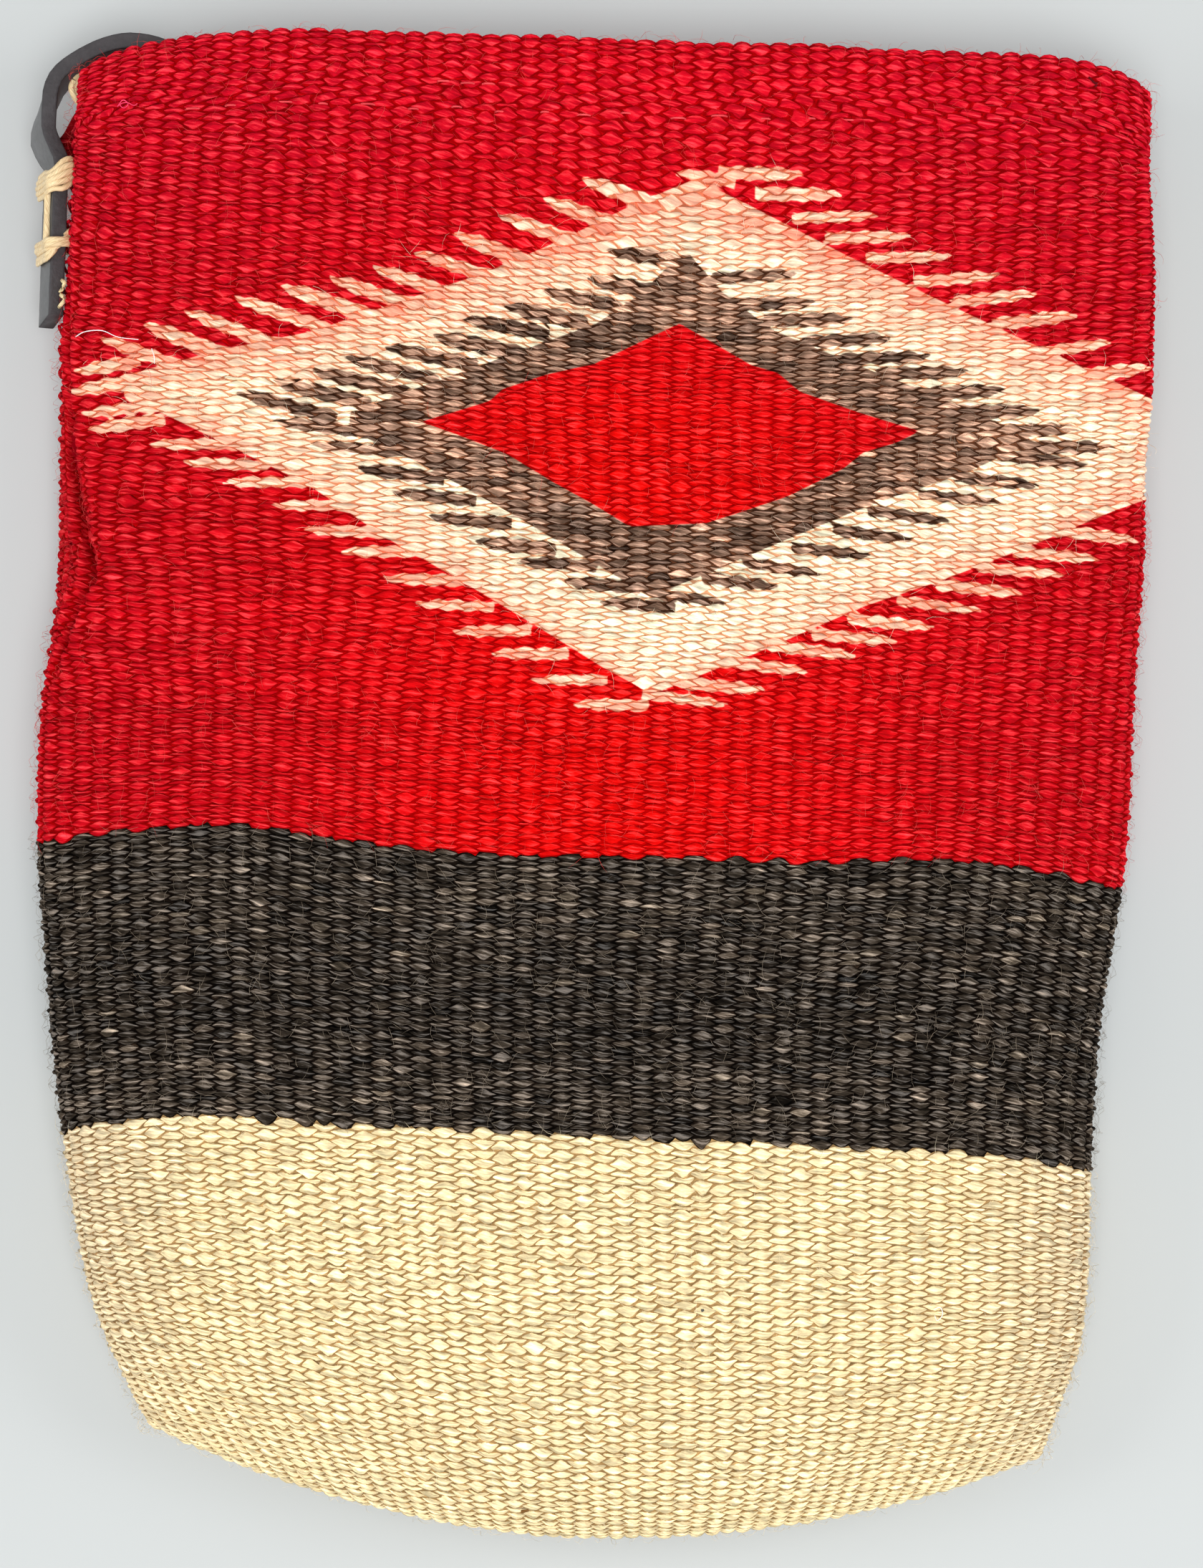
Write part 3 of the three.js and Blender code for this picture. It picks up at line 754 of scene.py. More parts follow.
# One stretch of the strip as a closed slab: woven outside, plain inside
def weavePiece(name, firstRow, lastRow, m):
    n, columns = weave["alongSteps"], weave["columns"]
    subRows = np.arange(firstRow * n, lastRow * n + 1)
    subColumns = np.arange(columns * m + 1)
    v = np.repeat(subRows[:, None] / n, len(subColumns), 1)
    column = np.minimum(subColumns // m, columns - 1)
    s = ((subColumns - column * m) * 2 / m - 1)[None]
    phase = v - 0.5 * (column % 2)[None]
    wave = np.cos(2 * math.pi * (phase - 0.5))
    k = np.floor(phase).astype(int)
    f = phase - k
    tip = weave["zigzag"] * wander["zigzag"][subRows][:, np.where(s[0] < 0, column, column + 1)]
    u = column[None] + 0.5 + s * (0.5 + tip * wave)
    creases = wander["crease"][column[None], k + 1] * (1 - f) + wander["crease"][column[None], k + 2] * f
    flatU = np.repeat((subColumns / m)[None], len(subRows), 0)
    lift = -weave["leanLift"] * blend(leanField, v, flatU) * s * wave + creases * (1 - s ** 2)
    u = u + blend(wander["columnShift"], v, flatU) * np.clip(np.minimum(flatU, columns - flatU), 0, 1)
    place, normal, _, _ = weavePlace(np.clip(v + lift, 0, allRows), u)
    arch = 1 - np.abs(s) ** weave["roundness"]
    crease = np.abs(2 * f - 1) ** weave["roundness"]
    high = np.where(f == 0, 0, wander["height"][column[None], k + 1])
    height = (weave["uneven"] * high * arch * (1 - crease) - weave["ribDepth"] * (1 - arch)
              - weave["creaseDepth"] * crease * np.sqrt(arch))
    points = place + normal * height[..., None]
    points[..., 2] = np.maximum(points[..., 2], 0)
    number = np.arange(height.size).reshape(height.shape)
    quads = gridQuads(number)

    wholeRows = np.arange(firstRow, lastRow + 1)
    vIn, uIn = np.meshgrid(wholeRows * 1.0, np.arange(columns + 1) * 1.0, indexing="ij")
    placeIn, normalIn, dIn, _ = weavePlace(vIn, uIn)
    fromRim = np.minimum(dIn, bag["whole"] - dIn)
    hem = ramp(fromRim, bagForm["hemDepth"] + bagForm["hemFade"], bagForm["hemDepth"])
    thick = bagForm["clothThickness"] * (1 - hem) + bagForm["hemCore"] * hem
    pointsIn = placeIn - normalIn * thick[..., None]
    numberIn = np.arange(vIn.size).reshape(vIn.shape) + number.size
    quadsIn = gridQuads(numberIn)[:, [0, 3, 2, 1]]

    walls = []
    sides = ((number[:, 0], numberIn[:, 0], n), (number[-1, :], numberIn[-1, :], m),
             (number[::-1, -1], numberIn[::-1, -1], n), (number[0, ::-1], numberIn[0, ::-1], m))
    for fine, coarse, step in sides:
        owner = coarse[np.arange(len(fine) - 1) // step]
        walls.append(np.stack([fine[1:], fine[:-1], owner], -1))
        walls.append(np.stack([fine[step::step], coarse[:-1], coarse[1:]], -1))
    walls = np.concatenate(walls)
    allPoints = np.concatenate([points.reshape(-1, 3), pointsIn.reshape(-1, 3)])
    piece = newMesh(name, allPoints, [quads, quadsIn, walls])

    faceColumn = np.minimum(subColumns[:-1] // m, columns - 1)[None]
    faceK = np.floor((subRows[:-1, None] + 0.5) / n - 0.5 * (faceColumn % 2)).astype(int) + 1
    faceColumn = np.broadcast_to(faceColumn, faceK.shape)
    columnIn, kIn = np.meshgrid(np.arange(columns), wholeRows[:-1] + 1)
    owners = np.stack([np.concatenate([faceColumn.ravel(), columnIn.ravel(), np.zeros(len(walls), int)]),
                       np.concatenate([faceK.ravel(), kIn.ravel(), np.full(len(walls), firstRow + 2)])])
    kinds = floatKind[owners[0], owners[1]]
    if lastRow <= start["frontCharcoal"]:
        kinds[:faceK.size] = wool["red"]
        depth = np.zeros((len(piece.data.vertices), 4))
        depth[:number.size, :3] = figureDepth(*seenFromAbove(points)).reshape(-1, 3) + dye["figureBase"]
        paint(piece, "figure", "FLOAT_COLOR", "POINT", depth)
        for kind in ("cream", "charcoal"):
            paintFaces(piece, kind + "Tone", floatTones[wool[kind], owners[0], owners[1]])
    paintYarn(piece, floatTones[kinds, owners[0], owners[1]], creaseShadeTones[kinds], habits[kinds])
    corners = cornerPoints(piece)
    sizes = np.concatenate([np.full(len(quads) + len(quadsIn), 4), np.full(len(walls), 3)])
    along = np.concatenate([flatU.ravel(), uIn.ravel()])[corners] * weave["rib"]
    offset = owners.T @ np.array(weave["fibreShift"])
    layUv(piece, "yarn", np.stack([along, np.zeros_like(along)], -1) + np.repeat(offset, sizes, 0))
    sLeft = np.broadcast_to((subColumns[:-1] % m) * 2 / m - 1, faceK.shape)
    tTop = 2 * (subRows[:-1, None] / n - 0.5 * (faceColumn % 2) - faceK + 1) - 1
    sRight, tLow = sLeft + 2 / m, tTop + 2 / n
    bead = np.stack([sLeft, tTop, sLeft, tLow, sRight, tLow, sRight, tTop], -1).reshape(-1, 2)
    layUv(piece, "bead", np.concatenate([bead, np.zeros((len(corners) - len(bead), 2))]))
    sharpen(piece, number, m, n, firstRow)
    return piece


def paintFaces(piece, name, values):
    paint(piece, name, "FLOAT_COLOR", "FACE", np.insert(values, 3, 1, axis=1))


def paintYarn(piece, tones, creases, habits):
    paintFaces(piece, "yarnTone", tones)
    # painted shade for the creases between floats
    paintFaces(piece, "creaseShadeTone", creases)
    paintFaces(piece, "habit", habits)


def sharpen(piece, number, m, n, firstRow):  # the creases between floats are sharp
    pairs = np.zeros(len(piece.data.edges) * 2, np.int32)
    piece.data.edges.foreach_get("vertices", pairs)
    pairs = np.sort(pairs.reshape(-1, 2), 1)
    wide = number.shape[1]
    outside = pairs[:, 1] < number.size
    row, column = pairs[:, 0] // wide, pairs[:, 0] % wide
    alongEdge = outside & (pairs[:, 1] - pairs[:, 0] == wide)
    acrossEdge = outside & (pairs[:, 1] - pairs[:, 0] == 1) & (column < wide - 1)
    half = (n // 2) * ((column // m) % 2)
    sharp = (alongEdge & (column % m == 0)) | (acrossEdge & ((row + firstRow * n - half) % n == 0))
    sharp |= ~outside & (pairs[:, 0] < number.size)
    attribute = piece.data.attributes.new("sharp_edge", "BOOLEAN", "EDGE")
    attribute.data.foreach_set("value", sharp)


def plug(socket, value):  # a fixed value or another node's output
    if isinstance(value, bpy.types.NodeSocket):
        socket.id_data.links.new(value, socket)
    else:
        socket.default_value = value


def startMaterial(name):
    material = bpy.data.materials.new(name)
    material.use_nodes = True
    return material, material.node_tree, material.node_tree.nodes["Principled BSDF"]


def addNode(tree, kind, inputs, **settings):
    node = tree.nodes.new("ShaderNode" + kind)
    for key, value in settings.items():
        setattr(node, key, value)
    for key, value in inputs.items():
        plug(node.inputs[key], value)
    return node


def addMath(operation, first, second, kind="Math"):  # at least one of the two is another node's output
    tree = (first if isinstance(first, bpy.types.NodeSocket) else second).id_data
    return addNode(tree, kind, {0: first, 1: second}, operation=operation).outputs[0]


def times(first, second):
    return addMath("MULTIPLY", first, second)


def plus(first, second):
    return addMath("ADD", first, second)


def minus(first, second):
    return addMath("SUBTRACT", first, second)


def within(value, low, high):
    return addMath("MINIMUM", addMath("MAXIMUM", value, low), high)


def addTones(first, second):
    return addMath("ADD", first, second, "VectorMath")


def scaleTone(tone, factor):
    return addNode(tone.id_data, "VectorMath", {0: tone, "Scale": factor}, operation="SCALE").outputs[0]


def addNoise(vector, scale, detail, stretched=(1, 1, 1)):
    tree = vector.id_data
    place = addNode(tree, "Mapping", {"Vector": vector, "Scale": stretched}).outputs[0]
    return addNode(tree, "TexNoise", {"Vector": place, "Scale": scale, "Detail": detail,
                                      "Roughness": 0.6}).outputs["Fac"]


def mixTones(tree, factor, first, second, kind="MIX"):
    inputs = {0: factor, 6: first, 7: second}
    return addNode(tree, "Mix", inputs, data_type="RGBA", blend_type=kind).outputs[2]


def spread(value, low, high, kind="LINEAR"):  # from 0 to 1 between two values
    inputs = {"Value": value, "From Min": low, "From Max": high}
    return addNode(value.id_data, "MapRange", inputs, interpolation_type=kind).outputs["Result"]


def splitParts(vector):
    return addNode(vector.id_data, "SeparateXYZ", {0: vector}).outputs


def readPaint(tree, name, output="Color"):
    return addNode(tree, "Attribute", {}, attribute_name=name).outputs[output]


def readUv(tree, name):
    return addNode(tree, "UVMap", {}, uv_map=name).outputs["UV"]


def makeBump(shader, height, distance, strength):
    inputs = {"Height": height, "Distance": distance, "Strength": strength}
    plug(shader.inputs["Normal"], addNode(shader.id_data, "Bump", inputs).outputs["Normal"])


woolFinish = {
    "fibres": (0.22, 2.1, 1),  # cells per mm along the yarn and across it
    "loose": (1.2, 2.2, 1),  # the same for the loose ones that fray a float's edges
    "taper": 0.9,           # the floats are round at their ends
    "halfWidth": 0.7,       # half a float's width, mm
    "overhang": 1.5,        # the fibres bend round this far past the float's edge
    "twist": 0.3,           # the fibres run a little across the float
    "creaseShadeWidth": 0.42,
    "ragged": 0.85,
    "endShadePower": 1.4,        # how suddenly the painted shade at the float's ends sets in
    "contrast": 4.0,        # between the fibres
    "paintedSheen": 0.07,          # painted sheen: the fibres on the float tops are lifted towards white
    "plump": 0.6,
    "hairy": 0.45,
    "relief": 0.00035,
    "bump": 0.9,
    "roughness": 0.92,
    "shine": 0.03,
}
figureWools = ("figureCream", "figureCharcoal")


def overRed(tree, shares, red, cream, charcoal):  # the figure's wools in place of the red one
    shown = mixTones(tree, shares[0], red, cream)
    shown = mixTones(tree, shares[1], shown, charcoal)
    return mixTones(tree, shares[2], shown, red)


def makeWool(finish):
    material, tree, shader = startMaterial("hand_spun_wool")
    low, high = (dye["figureBase"] + edge for edge in dye["figureEdge"])
    shares = [spread(depth, low, high, "SMOOTHSTEP") for depth in splitParts(readPaint(tree, "figure"))]
    tone = overRed(tree, shares, readPaint(tree, "yarnTone"),
                   *(readPaint(tree, name) for name in ("creamTone", "charcoalTone")))
    # the painted crease shade, with the figure's wools over the red
    crease = overRed(tree, shares, readPaint(tree, "creaseShadeTone"),
                     *((*dye["crease"][name], 1) for name in figureWools))
    habit = overRed(tree, shares, readPaint(tree, "habit"),
                    *((dye["ends"][name], dye["streak"][name], 0, 1) for name in figureWools))
    endShade, streak, _ = splitParts(habit)
    along, around, _ = splitParts(readUv(tree, "bead"))
    square = times(along, along)
    half = addMath("SQRT", minus(1.0, times(square, finish["taper"])), 0.0)
    across = addMath("DIVIDE", around, half)
    dome = addMath("MAXIMUM", minus(1.0, times(across, across)), 0.0)
    bent = times(within(across, -finish["overhang"], finish["overhang"]), finish["halfWidth"])
    bent = minus(bent, times(along, finish["twist"]))
    lay = addTones(readUv(tree, "yarn"), addNode(tree, "CombineXYZ", {"Y": bent}).outputs[0])
    fibres = addNoise(lay, 1.0, 4, finish["fibres"])
    loose = addNoise(lay, 1.0, 4, finish["loose"])
    ragged = times(minus(loose, 0.5), finish["ragged"])
    ends = times(addMath("POWER", square, finish["endShadePower"]), endShade)
    # painted shade: the tone darkens by the crease tone towards the float's creases and ends
    rise = spread(minus(plus(dome, ragged), ends), 0.0, finish["creaseShadeWidth"], "SMOOTHSTEP")
    body = mixTones(tree, rise, mixTones(tree, 1.0, tone, crease, "MULTIPLY"), tone)
    strength = addMath("POWER", streak, times(minus(fibres, 0.5), finish["contrast"]))
    # painted sheen on the lit fibres of the float tops
    pale = times(times(within(minus(strength, 1.0), 0.0, 1.0), rise), finish["paintedSheen"])
    plug(shader.inputs["Base Color"], addTones(scaleTone(body, strength), pale))
    plug(shader.inputs["Roughness"], finish["roughness"])
    plug(shader.inputs["Specular IOR Level"], finish["shine"])
    plump = times(times(dome, finish["plump"]), minus(1.0, square))
    height = plus(plump, times(plus(fibres, loose), finish["hairy"]))
    makeBump(shader, height, finish["relief"], finish["bump"])
    return material


woolMaterial = makeWool(woolFinish)
clothPieces = {
    "red_mouth_cloth": ("frontHem", "frontFigure", 4),
    "red_front_cloth": ("frontFigure", "frontCharcoal", 4),
    "charcoal_front_band": ("frontCharcoal", "frontCream", 4),
    "cream_front_cloth": ("frontCream", "backCream", 4),
    "cream_back_cloth": ("backCream", "backCharcoal", 4),
    "charcoal_back_band": ("backCharcoal", "backRed", 2),
    "red_back_cloth": ("backRed", "end", 2),
}
for pieceName, (firstName, lastName, steps) in clothPieces.items():
    cloth = weavePiece(pieceName, start[firstName], start[lastName], steps)
    finishPiece(cloth, woolMaterial, "wool", "woven_body")

# The leather strap stands on edge; its top leans inwards, so that its grain side shows
strap = {
    "thick": 3.0,
    "wide": 9.0,
    "edge": 0.5,
    "tail": 57.2,
    "archDrop": 0.4,
    "archFall": 2.4,
    "archRun": 12.5,
    "neckDown": 20.3,
    "neckBulge": {-1: 2.7, 1: 0.4},  # on the left and the right
    "neckHigh": (5.2, 0.75),  # so far above the neck, this much of the bulge is left
    "tuckedIn": 1.6,        # the right end lies deeper in the side than the solid's, mm
    "bendIn": 0.3,
    "bendDrop": 6.9,
    "sag": 46.0,
    "level": 15.0,
    "restLevel": 9.9,
    "upperLash": 28.2,
    "lowerLash": 41.5,
    "lashWidth": 4.6,
    "threadOver": 3.05,     # from the strap's middle to the outside of the lashing
    "lean": ((0, 30, 37, 41, 45, 50), (23, 23, 28, 20, 8, 0)),  # mm from the left end, degrees
    "steps": 200,
    "endSlant": 1.6,
    "rough": 0.012,         # the edges are cut by hand
    "seed": 5,
    # the grain side is painted lighter than the cut edge, a painted reflection on its smooth face
    "grain": linear(90, 90, 91),
    "cut": linear(62, 59, 61),
}


def strapLine(side):
    low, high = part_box("left_lashing" if side < 0 else "right_lashing")
    if side < 0:
        return low.x / mm + strap["threadOver"]
    return high.x / mm - strap["threadOver"] - strap["tuckedIn"]


def strapEnd(side):
    line, rim, level = strapLine(side), bagForm["rimY"], strap["level"]
    top = rim - strap["archDrop"] - strap["thick"] / 2
    inward = -side * strap["archRun"]
    bulge = strap["neckBulge"][side]
    higher, left = strap["neckHigh"]
    return [(line, rim - strap["tail"], level), (line, rim - strap["lowerLash"], level),
            (line, rim - strap["upperLash"], level),
            (line, rim - strap["upperLash"] + strap["lashWidth"] / 2, level),
            (line + side * bulge, rim - strap["neckDown"], level),
            (line + side * bulge * left, rim - strap["neckDown"] + higher, level),
            (line - side * strap["bendIn"], top - strap["bendDrop"], level), (line + inward, top, level),
            (line + 2 * inward, top - strap["archFall"], level),
            (line + 4 * inward, rim - strap["sag"] / 2, strap["restLevel"])]


def boxOutline(wide, high, edge, steps=4):
    corners = []
    for n, (a, b) in enumerate(((1, 1), (-1, 1), (-1, -1), (1, -1))):
        turn = math.pi / 2 * (n + np.linspace(0, 1, steps))
        corners.append(np.stack([a * (wide / 2 - edge) + edge * np.cos(turn),
                                 b * (high / 2 - edge) + edge * np.sin(turn)], -1))
    return np.concatenate(corners)


def makeStrap(strap):
    middle = (0, bagForm["rimY"] - strap["sag"], strap["restLevel"])
    route = smoothRoute(strapEnd(-1) + [middle] + strapEnd(1)[::-1], strap["steps"])[None]
    side, up = framesAlong(route, (0, 0, 1))
    lean = np.radians(np.interp(runAlong(route[0]), *strap["lean"]))[None, :, None]
    side, up = side * np.cos(lean) + up * np.sin(lean), up * np.cos(lean) - side * np.sin(lean)
    outline = boxOutline(strap["thick"], strap["wide"], strap["edge"])
    draw = np.random.default_rng(strap["seed"])
    rough = 1 + strap["rough"] * draw.standard_normal((1, strap["steps"] + 1, len(outline), 1))
    points, faces = sweep(route, side, up, outline[None, None] * rough)
    way = unit(np.gradient(route, axis=1))
    wide = len(outline)
    slant = strap["endSlant"] * (outline[:, 1] / strap["wide"] + 0.5)
    points[:wide] += way[0, 0] * slant[:, None]
    points[-wide:] -= way[0, -1] * slant[:, None]
    piece = newMesh("leather_strap", points, faces)
    onEdge = np.abs(outline[:, 1]) > strap["wide"] / 2 - strap["edge"] + 0.01
    paint(piece, "cutEdge", "FLOAT", "POINT", np.tile(onEdge, strap["steps"] + 1))
    return piece


leatherFinish = {
    "pores": 900.0,
    "clouds": 120.0,
    "worn": (0.8, 0.2),     # how much the noise changes the tone, and what stays
    "roughness": (0.35, 0.42),  # the cut edge is rougher by the first than the grain side
    "raised": (0.8, 0.2),   # and so are its pores
    "relief": 0.0004,
    "bump": 0.7,
}


def makeLeather(strap, finish):
    material, tree, shader = startMaterial("black_leather")
    cut = readPaint(tree, "cutEdge", "Fac")
    place = addNode(tree, "TexCoord", {}).outputs["Object"]
    pores = addNoise(place, finish["pores"], 4)
    noise = plus(pores, addNoise(place, finish["clouds"], 3))
    # painted reflection: the grain side's tone is lighter than the cut edge's
    tone = mixTones(tree, cut, (*strap["grain"], 1), (*strap["cut"], 1))
    worn, rough, raised = (plus(times(by, finish[key][0]), finish[key][1])
                           for by, key in ((noise, "worn"), (cut, "roughness"), (cut, "raised")))
    plug(shader.inputs["Base Color"], scaleTone(tone, worn))
    plug(shader.inputs["Roughness"], rough)
    makeBump(shader, times(pores, raised), finish["relief"], finish["bump"])
    return material


finishPiece(makeStrap(strap), makeLeather(strap, leatherFinish), "leather", "handle_strap")

lashing = {
    "strands": 5,
    "pitch": 1.1,           # from strand to strand, mm
    "thick": 0.62,          # half a strand's width
    "flat": 0.62,
    "slant": 2.6,           # the strands drop towards the outside
    "bulk": 0.24,           # the middle strands lie over the others
    "upperRaise": 0.9,      # the upper wrap's strands start above its middle
    "lowerEnds": (1.0, -1.3),  # the lower wrap's strands go from here at the cloth to here on the strap
    "crossing": ((1.5, -1.9), (0.7, -1.2), (0.0, 0.0), (-1.3, 0.5), (-0.6, 1.4)),  # and cross each other
    "lowerBulk": (0.04, 0.04, 0.04, 0.16, 0.16),
    "loop": ((2.0, -4.2, 0.9), (2.05, 0.5, 1), (2.0, 4.3, 0.75), (1.2, 5.05, 0.85), (0, 5.3, 1.2),
             (-1.4, 5.05, 1.1), (-3.0, 4.1, 0.7), (-5.2, 2.4, 0.6), (-7.0, 0, 0.6), (-5.2, -2.4, 0.6),
             (-3.0, -4.1, 0.7), (-1.2, -5.05, 0.8),
             (1.2, -5.05, 0.8)),  # outwards and up from the strap's middle, and how far apart
    "onStrap": (-2.0, 2.0),  # the strands drop between these places of the loop
    "leanWith": (-5.0, -2.0),  # and lean with the strap from between these ones on
    "bridgeAt": ((3.2, 2.6), (1.9, 3.5)),  # up the strap's face, at the upper and the lower wrap
    "bridgeOut": 2.15,
    "bridgeDrop": 0.6,
    "steps": 64,
    "sides": 8,
}


def leaning(side):
    return math.radians(strap["lean"][1][0]) if side < 0 else 0.0


def threadLoop(side, inner, outer, apart, stand):  # y at the cloth and y on the strap's outer face
    loop, fan = np.split(np.array(lashing["loop"] + lashing["loop"][:2]), [2], 1)
    part = ramp(loop[:, 0], *lashing["onStrap"])
    near = ramp(loop[:, :1], *lashing["leanWith"])
    full = loop * (1 + stand)
    lean = leaning(side)
    turned = np.stack([full[:, 0] * math.cos(lean) - full[:, 1] * math.sin(lean),
                       full[:, 0] * math.sin(lean) + full[:, 1] * math.cos(lean)], -1)
    loop = loop * (1 - near) + turned * near
    y = inner + (outer - inner) * part + apart * fan[:, 0]
    return np.stack([strapLine(side) + side * loop[:, 0], y, strap["level"] + loop[:, 1]], -1)


def makeLashing(side):
    upper, lower = bagForm["rimY"] - strap["upperLash"], bagForm["rimY"] - strap["lowerLash"]
    routes = []
    middle = (lashing["strands"] - 1) / 2
    top = upper + lashing["upperRaise"]
    fromCloth, toFace = (lower + end for end in lashing["lowerEnds"])
    for n in range(lashing["strands"]):
        place = (n - middle) * lashing["pitch"]
        stand = lashing["bulk"] * (1 - ((n - middle) / (middle + 0.5)) ** 2)
        routes.append(threadLoop(side, top, top - lashing["slant"], place, stand))
        atCloth, atFace = lashing["crossing"][n]
        routes.append(threadLoop(side, fromCloth + atCloth, toFace + atFace, 0, lashing["lowerBulk"][n]))
    lean, out, drop = leaning(side), lashing["bridgeOut"], lashing["bridgeDrop"]
    for ends in lashing["bridgeAt"]:
        level = np.linspace(*ends, 3)
        routes.append(np.stack([strapLine(side) + side * (out * math.cos(lean) - level * math.sin(lean)),
                                np.array((upper - drop, (upper + lower) / 2, lower - drop)),
                                strap["level"] + level * math.cos(lean) + out * math.sin(lean)], -1))
    lines = np.array([smoothRoute(route, lashing["steps"]) for route in routes])
    return makeThread(("left" if side < 0 else "right") + "_thread_lashing", lines)


def makeThread(name, lines):
    outline = roundOutline(lashing["sides"], lashing["thick"] * lashing["flat"], lashing["thick"])
    points, faces = sweep(lines, *framesAlong(lines, (0, 1.0, 0)), outline[None, None])
    piece = newMesh(name, points, faces)
    run = np.cumsum(np.linalg.norm(np.diff(lines, axis=1, prepend=lines[:, :1]), axis=2), axis=1)
    around = np.arange(lashing["sides"]) * 2 * math.pi * lashing["thick"] / lashing["sides"]
    along = np.repeat(run[..., None], lashing["sides"], 2) + 9.0 * np.arange(len(lines))[:, None, None]
    yarn = np.stack([along, along * 0.5 + around], -1).reshape(-1, 2)
    layUv(piece, "yarn", yarn[cornerPoints(piece)])
    return piece


threadFinish = {
    "tone": linear(244, 220, 174),
    "shade": (0.6, 0.5, 0.38),  # between the fibres
    "light": 1.1,           # and on them
    "fibres": (0.4, 4.5, 1),  # cells per mm along the thread and across it
    "contrast": (0.3, 0.6),
    "roughness": 0.38,
    "relief": 0.0003,
    "bump": 0.7,
}


def makeWaxedThread(finish):
    material, tree, shader = startMaterial("waxed_thread")
    fibres = addNoise(readUv(tree, "yarn"), 1.0, 3, finish["fibres"])
    dark, light = finish["tone"] * finish["shade"], np.clip(finish["tone"] * finish["light"], 0, 1)
    tone = mixTones(tree, spread(fibres, *finish["contrast"]), (*dark, 1), (*light, 1))
    plug(shader.inputs["Base Color"], tone)
    plug(shader.inputs["Roughness"], finish["roughness"])
    makeBump(shader, fibres, finish["relief"], finish["bump"])
    return material


threadMaterial = makeWaxedThread(threadFinish)
for oneSide, lashNode in ((-1, "left_lashing"), (1, "right_lashing")):
    finishPiece(makeLashing(oneSide), threadMaterial, "waxed_thread", lashNode)

knot = {
    "strands": 7,
    "bulge": 0.55,
    "bandTurns": 2.6,
    "bandAt": 0.45,
    "waist": 0.25,          # how wide its strands lie at both ends
    "twist": 0.5,
    "overlong": 1.1,
    "bandWide": 0.85,
    "bandDrop": 0.5,
    "tail": ((0.4, 3.6, 2.0), (-2.6, 2.6, 2.6), (-4.0, 0.6, 2.8), (-3.0, -1.8, 2.4),
             (-1.4, -3.2, 1.4)),  # left only
    "tailSpread": ((0.3, 0), (0.9, 0.3), (0.6, 0.9)),
}


def makeKnot(side, node):
    low, high = (np.array(corner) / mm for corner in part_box(node))
    middle, half = (low + high) / 2, (high - low) / 2
    part = np.linspace(-1, 1, 7)
    routes = []
    for n in range(knot["strands"]):
        turn = 2 * math.pi * n / knot["strands"] + knot["twist"] * part
        wide = knot["waist"] + knot["bulge"] * (1 - part ** 2)
        along = knot["overlong"] * part
        routes.append(middle + half * np.stack([wide * np.cos(turn), along, wide * np.sin(turn)], -1))
    turn = np.linspace(0, 2 * math.pi * knot["bandTurns"], 24)
    along = knot["bandAt"] - knot["bandDrop"] * turn / turn[-1]
    wide = knot["bandWide"]
    routes.append(middle + half * np.stack([wide * np.cos(turn), along, wide * np.sin(turn)], -1))
    if side < 0:
        tail = np.array(knot["tail"])
        for over, up in knot["tailSpread"]:
            swing = np.sin(np.linspace(0, math.pi, len(tail)))[:, None]
            routes.append(middle + tail + swing * (over, 0, -up))
    lines = np.array([smoothRoute(route, lashing["steps"]) for route in routes])
    return makeThread(node.replace("_seam", "_thread"), lines)


for oneSide, knotNode in ((-1, "left_seam_knot"), (1, "right_seam_knot")):
    finishPiece(makeKnot(oneSide, knotNode), threadMaterial, "waxed_thread", knotNode)

# Stitches of wool yarn: the side seams' whip stitches and the hem's running stitches
stitches = {
    "seamStep": 4.4,
    "seamReach": 0.075,     # how far a stitch goes round the edge, in the section's angle
    "seamSlant": 1.6,
    "seamEnds": (17.0, 274.0),
    "seamParts": (-1, -0.55, -0.2, 0.2, 0.55, 1),  # the stitch's points on its way round
    "seamStand": (0.1, 0.8),  # its middle stands out by the first, its ends dive by the second
    "seamCore": 6.0,        # from the edge in to the place that it goes round
    "seamShade": 0.85,      # darker than the floats beside it
    "thick": 0.36,
    "zigzag": {"downs": (46.5, 48.6, 49.6, 51.6, 52.4), "angles": (0.02, 0.26, 0.06, 0.27, 0.05),
               "thick": 0.42, "stand": (-0.5, 0, 0.3)},
    "hemRuns": ({"down": 10.4, "ribs": (19.5, 23.0), "step": 1.3},
                {"down": 15.2, "ribs": (8.0, 41.0), "step": 2.1}),
    "hemLength": (0.35, 0.8),  # ribs
    "hemPlay": (0.3, 0.5),  # ribs along the hem, and mm down
    "hemStand": (0.2, 0.7),
    "hemPoints": 6,
    "hemThick": 0.19,
    "hemTone": linear(226, 74, 80),
    "steps": 12,
    "sides": 6,
    "streak": 1.5,          # as in the dyes, for all thin yarn
    "seed": 41,
}


def dive(count, stand, depth):  # a stitch stands out in its middle and dives in at both ends
    return stand - depth * np.linspace(-1, 1, count)[:, None] ** 4


def seamRoute(side, down):
    seam = math.pi if side < 0 else 0.0
    angles = seam - side * stitches["seamReach"] * np.array(stitches["seamParts"])
    angles = np.where(angles > math.pi, angles - 2 * math.pi, angles)
    slant = stitches["seamSlant"] * np.linspace(-0.5, 0.5, len(angles))
    line = clothPoint(bagForm, (down + slant) / bagForm["length"], angles)
    middle = line.mean(0) - (side * stitches["seamCore"], 0, 0)
    out = unit((line - middle) * (1, 0.2, 1))
    line += out * dive(len(angles), *stitches["seamStand"])
    line[:, 2] = np.maximum(line[:, 2], stitches["thick"])
    return line


